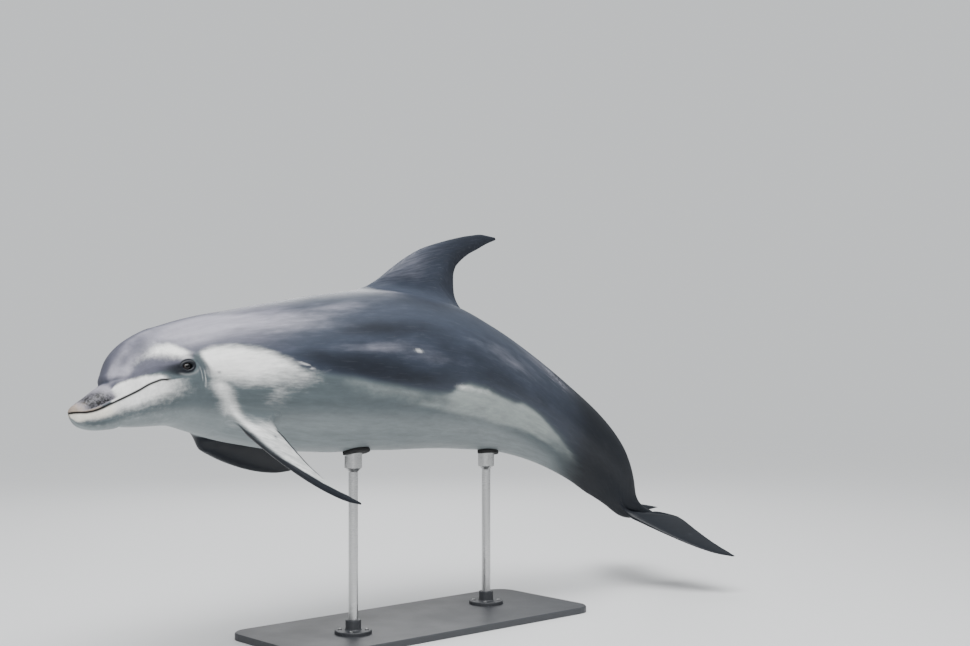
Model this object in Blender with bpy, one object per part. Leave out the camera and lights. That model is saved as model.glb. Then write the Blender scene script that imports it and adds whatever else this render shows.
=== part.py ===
"""Life-size bottlenose dolphin, parted into closed solids, on a plain display stand.

The body is lofted in straight coordinates: s runs from the beak tip to the notch of the flukes,
y to the animal's right and z to its back. A bent spine then carries it into the swimming pose.
Fins grow out of the body's own grid of faces, so each one meets the body in a fair curve.
World frame: metres, +Z up, the head towards -X, the left side towards -Y, floor at Z = 0.
"""

import bpy
import bmesh
import numpy as np

# ---- overall size and parting gap ------------------------------------------------------------
LENGTH = 2.5                     # beak tip to fluke notch, along the spine
GAP = 0.0003                     # clear gap between neighbouring solids
HALF_GAP = GAP / 2

# ---- pose of the spine -------------------------------------------------------------------------
MID_POINT = (0.0, 0.0, 0.80)     # the spine at half its length
# (share of length, heading about Z, climb towards the tail, bank with the left side up), degrees
SPINE = (
    (0.00, 2.0, 15.0, 13.0),
    (0.12, 4.5, 13.0, 13.0),
    (0.20, 6.5, 5.5, 13.0),
    (0.30, 7.5, 2.5, 12.5),
    (0.42, 6.0, -4.0, 11.5),
    (0.52, 4.5, -8.5, 9.5),
    (0.62, 2.0, -17.0, 6.5),
    (0.72, -1.0, -25.0, 3.0),
    (0.80, -3.0, -31.0, 0.0),
    (0.87, -4.5, -43.0, -3.0),
    (0.93, -5.5, -58.0, -5.0),
    (0.97, -6.0, -23.0, -7.0),
    (1.00, -6.0, -4.0, -8.0),
)

# ---- body sections -----------------------------------------------------------------------------
# (distance from the tip, top, bottom, half width, widest height, roundness above, roundness below)
BODY = (
    (0.000, 0.002, -0.010, 0.009, -0.002, 2.0, 2.0),
    (0.008, 0.009, -0.027, 0.021, -0.005, 2.1, 2.1),
    (0.025, 0.015, -0.042, 0.031, -0.009, 2.2, 2.2),
    (0.050, 0.023, -0.054, 0.038, -0.010, 2.3, 2.2),
    (0.080, 0.034, -0.062, 0.044, -0.010, 2.3, 2.2),
    (0.112, 0.046, -0.069, 0.051, -0.008, 2.2, 2.2),
    (0.122, 0.066, -0.072, 0.055, -0.006, 2.0, 2.2),
    (0.135, 0.085, -0.077, 0.062, -0.004, 1.95, 2.2),
    (0.155, 0.106, -0.083, 0.074, 0.000, 1.95, 2.2),
    (0.185, 0.124, -0.091, 0.090, 0.005, 2.0, 2.2),
    (0.220, 0.137, -0.099, 0.106, 0.008, 2.05, 2.2),
    (0.270, 0.147, -0.112, 0.120, 0.010, 2.05, 2.15),
    (0.330, 0.150, -0.145, 0.133, 0.004, 2.0, 2.1),
    (0.400, 0.153, -0.180, 0.148, -0.008, 2.0, 2.1),
    (0.500, 0.156, -0.212, 0.168, -0.022, 2.0, 2.1),
    (0.700, 0.171, -0.258, 0.200, -0.040, 2.0, 2.1),
    (0.900, 0.192, -0.277, 0.219, -0.040, 2.0, 2.05),
    (1.100, 0.215, -0.274, 0.226, -0.028, 1.95, 2.0),
    (1.300, 0.212, -0.259, 0.212, -0.020, 1.9, 2.0),
    (1.500, 0.183, -0.236, 0.180, -0.022, 1.85, 1.95),
    (1.700, 0.153, -0.198, 0.142, -0.020, 1.8, 1.9),
    (1.900, 0.129, -0.167, 0.105, -0.018, 1.7, 1.8),
    (2.075, 0.112, -0.147, 0.074, -0.016, 1.6, 1.7),
    (2.200, 0.096, -0.130, 0.052, -0.016, 1.55, 1.6),
    (2.300, 0.070, -0.100, 0.039, -0.014, 1.6, 1.6),
    (2.400, 0.038, -0.054, 0.030, -0.008, 1.8, 1.8),
    (2.470, 0.018, -0.024, 0.022, -0.003, 2.0, 2.0),
    (2.500, 0.008, -0.010, 0.012, -0.001, 2.0, 2.0),
)
# The mouth line on the side of the head, carried on behind it as a seam-free guide: (s, z)
MOUTH = (
    (0.000, 0.001), (0.012, -0.004), (0.034, -0.012), (0.056, -0.0145), (0.094, -0.011),
    (0.130, -0.0065), (0.162, -0.0015), (0.194, 0.0055), (0.216, 0.0065), (0.236, 0.001),
    (0.300, -0.008), (0.500, -0.040),
    (0.900, -0.080), (1.500, -0.060), (2.000, -0.035), (2.300, -0.014), (2.500, -0.001),
)

# ---- where the body is parted --------------------------------------------------------------------
CREASE = 0.112                   # beak to melon
GAPE = 0.236                     # corner of the mouth
NAPE = 0.330                     # head to neck
SHOULDER = 0.375                 # neck to chest
CHEST_END = 0.720
TRUNK_END = 1.480
STOCK_MIDDLE = 1.950
ROWS = (
    0.000, 0.006, 0.016, 0.030, 0.050, 0.080, CREASE, 0.122, 0.135, 0.155, 0.180, 0.208,
    GAPE, 0.265, 0.298, NAPE, SHOULDER, 0.400, 0.440, 0.480, 0.520, 0.560, 0.610, 0.665,
    CHEST_END, 0.800, 0.890, 0.930, 0.970, 1.058, 1.116, 1.174, 1.232, 1.290, 1.348, 1.406,
    TRUNK_END, 1.580, 1.620, 1.660, 1.760, 1.825, 1.890, STOCK_MIDDLE, 2.010, 2.070, 2.130,
    2.185, 2.235, 2.280, 2.320, 2.355, 2.388, 2.420, 2.452, 2.480, 2.500,
)
RING = 36                        # points round each section
SIDE = 9                         # ring index of the mouth line and its guide
BEAK_TIP = (-0.001, 0.000)      # the points that close the two ends: along the spine, up
NOTCH_TIP = (2.504, 0.000)


def monotone(xs, ys, x):
    """Smooth curve through hand-set stations that never overshoots them."""
    xs, ys, x = (np.asarray(v, float) for v in (xs, ys, x))
    h = np.diff(xs)
    d = np.diff(ys) / h
    m = np.zeros(len(xs))
    both = d[:-1] * d[1:] > 0
    w1 = 2 * h[1:] + h[:-1]
    w2 = h[1:] + 2 * h[:-1]
    safe = np.where(both, d[:-1], 1.0), np.where(both, d[1:], 1.0)
    m[1:-1] = np.where(both, (w1 + w2) / (w1 / safe[0] + w2 / safe[1]), 0.0)
    m[0], m[-1] = d[0], d[-1]
    k = np.clip(np.searchsorted(xs, x, side="right") - 1, 0, len(xs) - 2)
    t = (x - xs[k]) / h[k]
    a = (1 + 2 * t) * (1 - t) ** 2 * ys[k] + t * (1 - t) ** 2 * h[k] * m[k]
    return a + t * t * (3 - 2 * t) * ys[k + 1] + t * t * (t - 1) * h[k] * m[k + 1]


class Spine:
    """The bent centre line and the frame that rides along it."""

    def __init__(self, steps=500):
        self.s = np.linspace(0, LENGTH, steps + 1)
        table = np.array(SPINE)
        share = self.s / LENGTH
        yaw, climb, bank = (np.radians(monotone(table[:, 0], table[:, k], share)) for k in (1, 2, 3))
        back = np.stack([np.cos(climb) * np.cos(yaw), np.cos(climb) * np.sin(yaw), np.sin(climb)], 1)
        up = np.stack([-np.sin(climb) * np.cos(yaw), -np.sin(climb) * np.sin(yaw), np.cos(climb)], 1)
        right = np.cross(up, back)
        cb, sb = np.cos(bank)[:, None], np.sin(bank)[:, None]
        self.back = back
        self.right = cb * right - sb * up
        self.up = cb * up + sb * right
        path = np.zeros_like(back)
        path[1:] = np.cumsum((back[1:] + back[:-1]) / 2 * np.diff(self.s)[:, None], axis=0)
        self.path = path - path[steps // 2] + np.array(MID_POINT)

    def frame(self, s):
        """Origin, backward, right and up at distance s."""
        tables = (self.path, self.back, self.right, self.up)
        return tuple(np.stack([np.interp(s, self.s, t[:, k]) for k in range(3)], -1) for t in tables)

    def place(self, s, y, z):
        o, b, r, u = self.frame(s)
        return o + r * np.asarray(y)[..., None] + u * np.asarray(z)[..., None]


def section(s, count, side):
    """One ring of the straight body as y and z, the point at index side on the mouth guide."""
    table = np.array(BODY)
    top, low, half, wide, up_n, low_n = (float(monotone(table[:, 0], table[:, k], s)) for k in range(1, 7))
    guide = np.array(MOUTH)
    mouth = float(monotone(guide[:, 0], guide[:, 1], s))
    if mouth >= wide:
        at_side = np.arccos(min(1.0, (mouth - wide) / (top - wide)) ** (up_n / 2))
    else:
        at_side = np.pi - np.arccos(min(1.0, (wide - mouth) / (wide - low)) ** (low_n / 2))
    half_ring = count // 2
    index = np.arange(half_ring + 1)
    t = monotone([0, side, half_ring], [0, at_side, np.pi], index)
    c, k = np.cos(t), np.sin(t)
    n = np.where(c >= 0, up_n, low_n)
    z = wide + np.where(c >= 0, top - wide, wide - low) * np.sign(c) * np.abs(c) ** (2 / n)
    y = -half * np.abs(k) ** (2 / n)
    y = np.concatenate([y, -y[-2:0:-1]])
    z = np.concatenate([z, z[-2:0:-1]])
    return y, z


# ---- fins ----------------------------------------------------------------------------------------
# Each outline is given in the fin's own plane: (share of span, lead aft, lead out, trail aft, trail out,
# half thickness). Aft runs along the chord, out runs away from the body.
DORSAL_FIN = (
    (0.00, -0.105, 0.250, 0.252, 0.226, 0.0230),
    (0.14, -0.034, 0.303, 0.236, 0.268, 0.0190),
    (0.29, 0.036, 0.349, 0.238, 0.307, 0.0160),
    (0.43, 0.102, 0.384, 0.250, 0.340, 0.0130),
    (0.57, 0.172, 0.411, 0.276, 0.366, 0.0100),
    (0.71, 0.250, 0.438, 0.315, 0.394, 0.0075),
    (0.84, 0.330, 0.461, 0.364, 0.420, 0.0050),
    (0.94, 0.398, 0.474, 0.412, 0.446, 0.0032),
    (1.00, 0.450, 0.474, 0.455, 0.465, 0.0018),
)
FLIPPER = (
    (0.00, -0.088, 0.050, 0.052, 0.044, 0.0200),
    (0.16, -0.080, 0.110, 0.056, 0.090, 0.0165),
    (0.34, -0.066, 0.170, 0.050, 0.146, 0.0135),
    (0.52, -0.044, 0.226, 0.046, 0.206, 0.0105),
    (0.68, -0.016, 0.276, 0.054, 0.262, 0.0078),
    (0.82, 0.022, 0.320, 0.072, 0.304, 0.0055),
    (0.93, 0.066, 0.350, 0.096, 0.334, 0.0036),
    (1.00, 0.108, 0.362, 0.114, 0.352, 0.0018),
)
FLUKE = (
    (0.00, -0.072, 0.062, 0.142, 0.052, 0.0150),
    (0.18, -0.048, 0.105, 0.152, 0.098, 0.0120),
    (0.36, -0.020, 0.155, 0.154, 0.146, 0.0095),
    (0.54, 0.012, 0.206, 0.158, 0.194, 0.0072),
    (0.70, 0.046, 0.254, 0.164, 0.240, 0.0055),
    (0.84, 0.086, 0.298, 0.174, 0.284, 0.0040),
    (0.94, 0.126, 0.328, 0.184, 0.316, 0.0028),
    (1.00, 0.172, 0.346, 0.190, 0.340, 0.0016),
)
DORSAL_AT = 1.200                # spine distance of the dorsal fin's frame
FLIPPER_AT = 0.460               # spine distance of the shoulder joint
# Joint out and up from the spine; then, in degrees, the blade's angle below the side, its sweep back
# along the body, and the turn of its trailing edge down and in.
FLIPPER_LEFT = (0.092, -0.136, 53.0, 8.0, 16.0)
FLIPPER_RIGHT = (0.106, -0.153, 56.0, 51.5, -6.5)
FLUKE_AT = 2.420
FLUKE_TURN = (-11.0, -4.0, -8.0)  # heading, climb and bank of the flukes' common plane, degrees
FLUKE_DROOP = 14.0               # each blade's tip bent down from that plane, degrees
BLEND_RINGS = 3                  # rings between the body's skin and the fin's first section
SHARES = (0.00, 0.14, 0.28, 0.43, 0.57, 0.70, 0.81, 0.90, 0.96, 1.00)
FLIPPER_SHARES = (0.08, *SHARES[1:])


def unit(v):
    return v / np.linalg.norm(v, axis=-1, keepdims=True)


def dorsal_frame(spine):
    o, back, right, up = spine.frame(DORSAL_AT)
    return o, back, up, right


def flipper_frame(spine, side, joint):
    """side is -1 for the left flipper and +1 for the right one. The blade sweeps back by shear, so that
    its chord stays along the body."""
    o, back, right, up = spine.frame(FLIPPER_AT)
    root = o + right * side * joint[0] + up * joint[1]
    below, sweep, turn = np.radians(joint[2:])
    out = np.cos(below) * side * right - np.sin(below) * up
    inward = -np.sin(below) * side * right - np.cos(below) * up
    chord = np.cos(turn) * back + np.sin(turn) * inward
    upper = np.sin(turn) * back - np.cos(turn) * inward
    return root, chord, np.cos(sweep) * out + np.sin(sweep) * chord, upper


def fluke_frame(spine, side):
    o = spine.frame(FLUKE_AT)[0]
    yaw, climb, bank = (np.radians(a) for a in FLUKE_TURN)
    back = np.array([np.cos(climb) * np.cos(yaw), np.cos(climb) * np.sin(yaw), np.sin(climb)])
    up = np.array([-np.sin(climb) * np.cos(yaw), -np.sin(climb) * np.sin(yaw), np.cos(climb)])
    right = np.cross(up, back)
    right, up = np.cos(bank) * right - np.sin(bank) * up, np.cos(bank) * up + np.sin(bank) * right
    droop = np.radians(FLUKE_DROOP)
    out = np.cos(droop) * side * right - np.sin(droop) * up
    return o, back, out, np.cos(droop) * up + np.sin(droop) * side * right


def fin_section(table, frame, v, count, lead_offset):
    """Closed loop of count points round the aerofoil at share v of the span."""
    t = np.array(table)
    lead_a, lead_o, trail_a, trail_o, half = (float(monotone(t[:, 0], t[:, k], v)) for k in range(1, 6))
    o, aft, out, upper = frame
    turn = 2 * np.pi * (np.arange(count) + lead_offset) / count
    x = (1 - np.cos(turn)) / 2
    foil = 2.96 * np.sqrt(x) - 1.26 * x - 3.516 * x ** 2 + 2.843 * x ** 3 - 1.027 * x ** 4
    w = np.sign(np.round(np.sin(turn), 9)) * (half * foil + 0.0004 * np.sin(np.pi * x) ** 0.5)
    a = lead_a + x * (trail_a - lead_a)
    b = lead_o + x * (trail_o - lead_o)
    return o + a[:, None] * aft + b[:, None] * out + w[:, None] * upper


def loop_of(rows, cols):
    """Grid indices round the edge of a patch: first column, last row, last column, first row."""
    edge = [(i, cols[0]) for i in rows]
    edge += [(rows[-1], j) for j in cols[1:]]
    edge += [(i, cols[-1]) for i in rows[-2::-1]]
    edge += [(rows[0], j) for j in cols[-2:0:-1]]
    return edge


def inward_steps(grid, rows, cols):
    """For each edge point of the patch, the direction along the skin into the patch."""
    steps = []
    for i, j in loop_of(rows, cols):
        step = np.zeros(3)
        if j == cols[0]:
            step += unit(grid[i, cols[1]] - grid[i, j])
        if j == cols[-1]:
            step += unit(grid[i, cols[-2]] - grid[i, j])
        if i == rows[0]:
            step += unit(grid[rows[1], j] - grid[i, j])
        if i == rows[-1]:
            step += unit(grid[rows[-2], j] - grid[i, j])
        steps.append(unit(step))
    return np.array(steps)


def patch_of(loop, long, wide):
    """A long x wide sheet of points inside a closed loop, used to close a cut or a fin's tip."""
    near = loop[: long + 1]
    far = loop[long + wide: 2 * long + wide + 1][::-1]
    sheet = np.array([near + (far - near) * k / wide for k in range(wide + 1)]).transpose(1, 0, 2)
    sheet[-1] = loop[long: long + wide + 1]
    sheet[0, 1:wide] = loop[2 * long + wide + 1:][::-1]
    return sheet


class Fin:
    """Rings that rise from a patch of the body's grid to a fin's tip."""

    def __init__(self, grid, rows, cols, table, frame, shares, reach=0.42):
        self.rows, self.cols = rows, cols
        self.long, self.wide = len(rows) - 1, len(cols) - 1
        count = 2 * (self.long + self.wide)
        offset = self.wide / 2
        edge = np.array([grid[i, j] for i, j in loop_of(rows, cols)])
        lead = inward_steps(grid, rows, cols)
        first = fin_section(table, frame, shares[0], count, offset)
        ahead = fin_section(table, frame, shares[0] + 0.05, count, offset)
        rise = unit(ahead - first)
        span = np.linalg.norm(first - edge, axis=1, keepdims=True)
        rings = [edge]
        for k in range(1, BLEND_RINGS + 1):
            t = k / (BLEND_RINGS + 1)
            c1 = edge + lead * span * reach
            c2 = first - rise * span * reach
            rings.append(edge * (1 - t) ** 3 + 3 * c1 * t * (1 - t) ** 2 + 3 * c2 * t * t * (1 - t) + first * t ** 3)
        rings += [fin_section(table, frame, v, count, offset) for v in shares]
        self.rings = rings
        self.root = BLEND_RINGS + 1
        self.out = frame[2]

    def stub(self):
        """Faces from the body's skin up to the cut at the first full section, with the cut closed."""
        rings = self.rings[: self.root + 1]
        rings[-1] = rings[-1] - self.out * HALF_GAP
        return tube(rings) + sheet_faces(patch_of(rings[-1], self.long, self.wide))

    def blade(self):
        rings = self.rings[self.root:]
        rings[0] = rings[0] + self.out * HALF_GAP
        faces = tube(rings)
        faces += sheet_faces(patch_of(rings[0], self.long, self.wide))
        return faces + sheet_faces(patch_of(rings[-1], self.long, self.wide))


def tube(rings):
    faces = []
    for a, b in zip(rings[:-1], rings[1:]):
        for m in range(len(a)):
            n = (m + 1) % len(a)
            faces.append([a[m], a[n], b[n], b[m]])
    return faces


def sheet_faces(points):
    return [
        [points[i, j], points[i + 1, j], points[i + 1, j + 1], points[i, j + 1]]
        for i in range(points.shape[0] - 1)
        for j in range(points.shape[1] - 1)
    ]


def fan(centre, line):
    return [[centre, a, b] for a, b in zip(line[:-1], line[1:])]


def solid(name, faces, smooth=35.0):
    """One closed object from loose faces: weld, drop what collapsed, turn outward."""
    mesh = bpy.data.meshes.new(name)
    points = [tuple(p) for face in faces for p in face]
    index, polygons = 0, []
    for face in faces:
        polygons.append(list(range(index, index + len(face))))
        index += len(face)
    mesh.from_pydata(points, [], polygons)
    work = bmesh.new()
    work.from_mesh(mesh)
    bmesh.ops.remove_doubles(work, verts=work.verts, dist=2e-6)
    bmesh.ops.dissolve_degenerate(work, dist=1e-6, edges=work.edges)
    bmesh.ops.recalc_face_normals(work, faces=work.faces)
    if work.calc_volume(signed=True) < 0:
        bmesh.ops.reverse_faces(work, faces=work.faces)
    work.to_mesh(mesh)
    work.free()
    mesh.shade_smooth()
    mesh.set_sharp_from_angle(angle=np.radians(smooth))
    obj = bpy.data.objects.new(name, mesh)
    bpy.context.collection.objects.link(obj)
    return obj


class Body:
    """The body's grid of points, and the solids cut from it."""

    def __init__(self, spine):
        self.spine = spine
        self.rows = np.array(ROWS)
        rings = [section(s, RING, SIDE) for s in ROWS]
        self.grid = np.array([spine.place(np.full(RING, s), y, z) for s, (y, z) in zip(ROWS, rings)])
        self.holes = set()
        self.fins = {}

    def row(self, s):
        return int(np.argmin(np.abs(self.rows - s)))

    def add_fin(self, name, start, end, cols, table, frame, shares):
        rows = list(range(self.row(start), self.row(end) + 1))
        self.fins[name] = Fin(self.grid, rows, cols, table, frame, shares)
        low, high = min(cols), max(cols)
        self.holes |= {(i, j % RING) for i in rows[:-1] for j in range(low, high)}

    def segment(self, start, end, first=0, last=RING, fins=()):
        """Closed faces between two distances; ring indices first to last, or the whole ring."""
        a, b = self.row(start), self.row(end)
        whole = last - first == RING
        cols = [j % RING for j in range(first, last + (0 if whole else 1))]
        part = self.grid[a:b + 1][:, cols].copy()
        back = self.spine.frame(self.rows[a:b + 1])[1]
        up = self.spine.frame(self.rows[a:b + 1])[3]
        if not whole:
            lift = HALF_GAP if first < 0 else -HALF_GAP
            part[:, 0] += up * lift
            part[:, -1] += up * lift
        if a > 0:
            part[0] += back[0] * HALF_GAP
        if b < len(self.rows) - 1:
            part[-1] -= back[-1] * HALF_GAP
        faces = []
        steps = len(cols) if whole else len(cols) - 1
        for i in range(b - a):
            for k in range(steps):
                if (a + i, cols[k]) in self.holes:
                    continue
                n = (k + 1) % len(cols)
                faces.append([part[i, k], part[i + 1, k], part[i + 1, n], part[i, n]])
        if not whole:
            faces += [[part[i, 0], part[i + 1, 0], part[i + 1, -1], part[i, -1]] for i in range(b - a)]
        ends = ((part[0], a == 0, BEAK_TIP), (part[-1], b == len(self.rows) - 1, NOTCH_TIP))
        for row, at_end, (s, z) in ends:
            line = list(row) + ([row[0]] if whole else [])
            if not at_end:
                faces.append(list(row))
                continue
            tip = self.spine.place(s, 0.0, z if whole else z + lift)
            faces += fan(tip, line)
            if not whole:
                faces.append([tip, row[-1], row[0]])
        for name in fins:
            faces += self.fins[name].stub()
        return faces


# ---- eyes ----------------------------------------------------------------------------------------
EYE_AT = (0.294, 0.1120, 0.019)      # along the spine, out, up
EYE_HALF = (0.0150, 0.0145, 0.0115)  # half sizes along, out, up

# ---- display stand -------------------------------------------------------------------------------
BASE_SIZE = (1.10, 0.44, 0.020)
BASE_CENTRE = (-0.03, -0.045)
BASE_CORNER = 0.060
ROD_RADIUS = 0.014
HEAD_RADIUS = 0.026
HEAD_DROP = 0.050
PAD_THICK = 0.012
PAD_CLEAR = 0.0005
FLANGE_RADIUS = 0.055
FLANGE_THICK = 0.010
COLLAR_RADIUS = 0.023
COLLAR_HEIGHT = 0.040
SCREW_RADIUS = 0.006
SCREW_CIRCLE = 0.040
FRONT_POST = (0.890, 0.970)      # the patch of belly that each pad carries
REAR_POST = (1.580, 1.660)
PAD_COLS = (17, 19)

MATERIALS = {
    "skin_cape": ((0.085, 0.095, 0.125), 0.35, 0.0),
    "skin_flank": ((0.300, 0.300, 0.330), 0.35, 0.0),
    "skin_pale": ((0.620, 0.620, 0.610), 0.40, 0.0),
    "skin_fin": ((0.060, 0.065, 0.085), 0.35, 0.0),
    "eye": ((0.012, 0.010, 0.010), 0.08, 0.0),
    "stand_paint": ((0.040, 0.042, 0.045), 0.45, 0.0),
    "stand_steel": ((0.560, 0.560, 0.570), 0.28, 1.0),
    "stand_rubber": ((0.030, 0.030, 0.030), 0.80, 0.0),
}


def paint(obj, kind):
    """Each node carries a material of its own, named for the node and its finish."""
    colour, rough, metal = MATERIALS[kind]
    mat = bpy.data.materials.new(f"{obj.name}_{kind}")
    mat.use_nodes = True
    shader = mat.node_tree.nodes["Principled BSDF"]
    shader.inputs["Base Color"].default_value = (*colour, 1.0)
    shader.inputs["Roughness"].default_value = rough
    shader.inputs["Metallic"].default_value = metal
    mat.diffuse_color = (*colour, 1.0)
    obj.data.materials.clear()
    obj.data.materials.append(mat)
    return obj


def ellipsoid(name, spine, side, grow=0.0, rings=8, around=14):
    s, out, up = EYE_AT
    o, back, right, above = spine.frame(s)
    centre = o + right * side * out + above * up
    a, b, c = (h + grow for h in EYE_HALF)
    rows = []
    for k in range(1, rings):
        lat = np.pi * k / rings
        lon = 2 * np.pi * np.arange(around) / around
        rows.append(
            centre
            + (a * np.sin(lat) * np.cos(lon))[:, None] * back
            + (c * np.sin(lat) * np.sin(lon))[:, None] * above
            + right * side * b * np.cos(lat)
        )
    faces = tube(rows)
    near, far = centre + right * side * b, centre - right * side * b
    faces += fan(near, list(rows[0]) + [rows[0][0]]) + fan(far, list(rows[-1]) + [rows[-1][0]])
    return solid(name, faces)


def cut(obj, cutter):
    """Boolean difference, applied; the cutter is removed afterwards."""
    mod = obj.modifiers.new("cut", "BOOLEAN")
    mod.operation, mod.solver, mod.object = "DIFFERENCE", "EXACT", cutter
    graph = bpy.context.evaluated_depsgraph_get()
    mesh = bpy.data.meshes.new_from_object(obj.evaluated_get(graph))
    obj.modifiers.clear()
    old, obj.data = obj.data, mesh
    bpy.data.meshes.remove(old)
    bpy.data.objects.remove(cutter)
    mesh.set_sharp_from_angle(angle=np.radians(35))


def lathe(profile, x, y, around=24):
    """Rings of a vertical solid of revolution from (radius, height) pairs."""
    lon = 2 * np.pi * np.arange(around) / around
    return [
        np.stack([x + r * np.cos(lon), y + r * np.sin(lon), np.full(around, z)], 1) for r, z in profile
    ]


def flange(name, x, y):
    z = BASE_SIZE[2] + GAP
    bore = ROD_RADIUS + GAP
    profile = [
        (bore, z), (FLANGE_RADIUS, z), (FLANGE_RADIUS, z + FLANGE_THICK - 0.002),
        (FLANGE_RADIUS - 0.002, z + FLANGE_THICK), (COLLAR_RADIUS + 0.003, z + FLANGE_THICK),
        (COLLAR_RADIUS, z + FLANGE_THICK + 0.003), (COLLAR_RADIUS, z + COLLAR_HEIGHT - 0.0015),
        (COLLAR_RADIUS - 0.0015, z + COLLAR_HEIGHT), (bore, z + COLLAR_HEIGHT), (bore, z),
    ]
    return solid(name, tube(lathe(profile, x, y)))


def screws(name, x, y):
    """Four button-head screws on the flange, each its own solid."""
    made = []
    z = BASE_SIZE[2] + GAP + FLANGE_THICK + GAP
    for k in range(4):
        a = np.radians(45 + 90 * k)
        cx, cy = x + SCREW_CIRCLE * np.cos(a), y + SCREW_CIRCLE * np.sin(a)
        rings = lathe([(SCREW_RADIUS, z), (SCREW_RADIUS, z + 0.002), (SCREW_RADIUS * 0.6, z + 0.0035)], cx, cy, 10)
        faces = tube(rings) + [list(rings[0]), list(rings[-1])]
        made.append(solid(f"{name}_{k + 1}", faces))
    return made


def skin_patch(body, rows, out, margin=0):
    """The belly's own facets under a pad, and margin rings round it, pushed out along the skin's normals."""
    a, b = body.row(rows[0]) - margin, body.row(rows[1]) + margin
    cols = list(range(PAD_COLS[0] - margin, PAD_COLS[1] + margin + 1))
    wide = body.grid[a - 1:b + 2][:, [cols[0] - 1, *cols, cols[-1] + 1]]
    along = wide[2:, 1:-1] - wide[:-2, 1:-1]
    across = wide[1:-1, 2:] - wide[1:-1, :-2]
    normal = unit(np.cross(across, along))
    if normal[..., 2].mean() > 0:
        normal = -normal
    return wide[1:-1, 1:-1] + normal * out


def slab(inner, outer):
    """Closed faces between two sheets of the same size."""
    faces = sheet_faces(inner) + sheet_faces(outer)
    for near, far in (
        (inner[0], outer[0]), (inner[-1], outer[-1]), (inner[:, 0], outer[:, 0]), (inner[:, -1], outer[:, -1])
    ):
        faces += [[near[k], near[k + 1], far[k + 1], far[k]] for k in range(len(near) - 1)]
    return faces


def post(name, body, rows):
    """A pad shaped to the belly, and the rod whose head carries it."""
    inner = skin_patch(body, rows, PAD_CLEAR)
    outer = skin_patch(body, rows, PAD_THICK)
    pad = solid(f"stand_pad_{name}", slab(inner, outer))
    paint(pad, "stand_rubber")
    centre = outer[outer.shape[0] // 2, outer.shape[1] // 2]
    x, y, top = centre
    z = BASE_SIZE[2] + GAP
    neck = top - HEAD_DROP
    profile = [
        (ROD_RADIUS, z), (ROD_RADIUS, neck), (HEAD_RADIUS, neck + 0.012), (HEAD_RADIUS, top + 0.030),
    ]
    rings = lathe(profile, x, y)
    rod = solid(f"stand_rod_{name}", tube(rings) + [list(rings[0]), list(rings[-1])])
    under = skin_patch(body, rows, PAD_THICK + PAD_CLEAR, margin=1)
    cut(rod, solid("pad_cutter", slab(under, under + np.array([0.0, 0.0, 0.15]))))
    paint(rod, "stand_steel")
    paint(flange(f"stand_flange_{name}", x, y), "stand_paint")
    for screw in screws(f"stand_screw_{name}", x, y):
        paint(screw, "stand_steel")


def base():
    """Flat rounded plate with a small chamfer round its top."""
    (w, d, h), (cx, cy) = BASE_SIZE, BASE_CENTRE
    rings = []
    for inset, z in ((0.0, 0.0), (0.0, h - 0.003), (0.003, h)):
        r = BASE_CORNER - inset
        ring = []
        for qx, qy, start in ((1, 1, 0), (-1, 1, 90), (-1, -1, 180), (1, -1, 270)):
            for k in range(7):
                a = np.radians(start + 15 * k)
                ring.append((
                    cx + qx * (w / 2 - BASE_CORNER) + r * np.cos(a),
                    cy + qy * (d / 2 - BASE_CORNER) + r * np.sin(a),
                    z,
                ))
        rings.append(np.array(ring))
    return solid("stand_base", tube(rings) + [list(rings[0]), list(rings[-1])])


def gather():
    """Parent every piece to an empty: one for the animal and one for its stand."""
    pieces = list(bpy.data.objects)
    for group in ("dolphin", "stand"):
        root = bpy.data.objects.new(group, None)
        root.empty_display_size = 0.1
        bpy.context.collection.objects.link(root)
        for piece in pieces:
            if piece.name.startswith("stand_") == (group == "stand"):
                piece.parent = root


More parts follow.
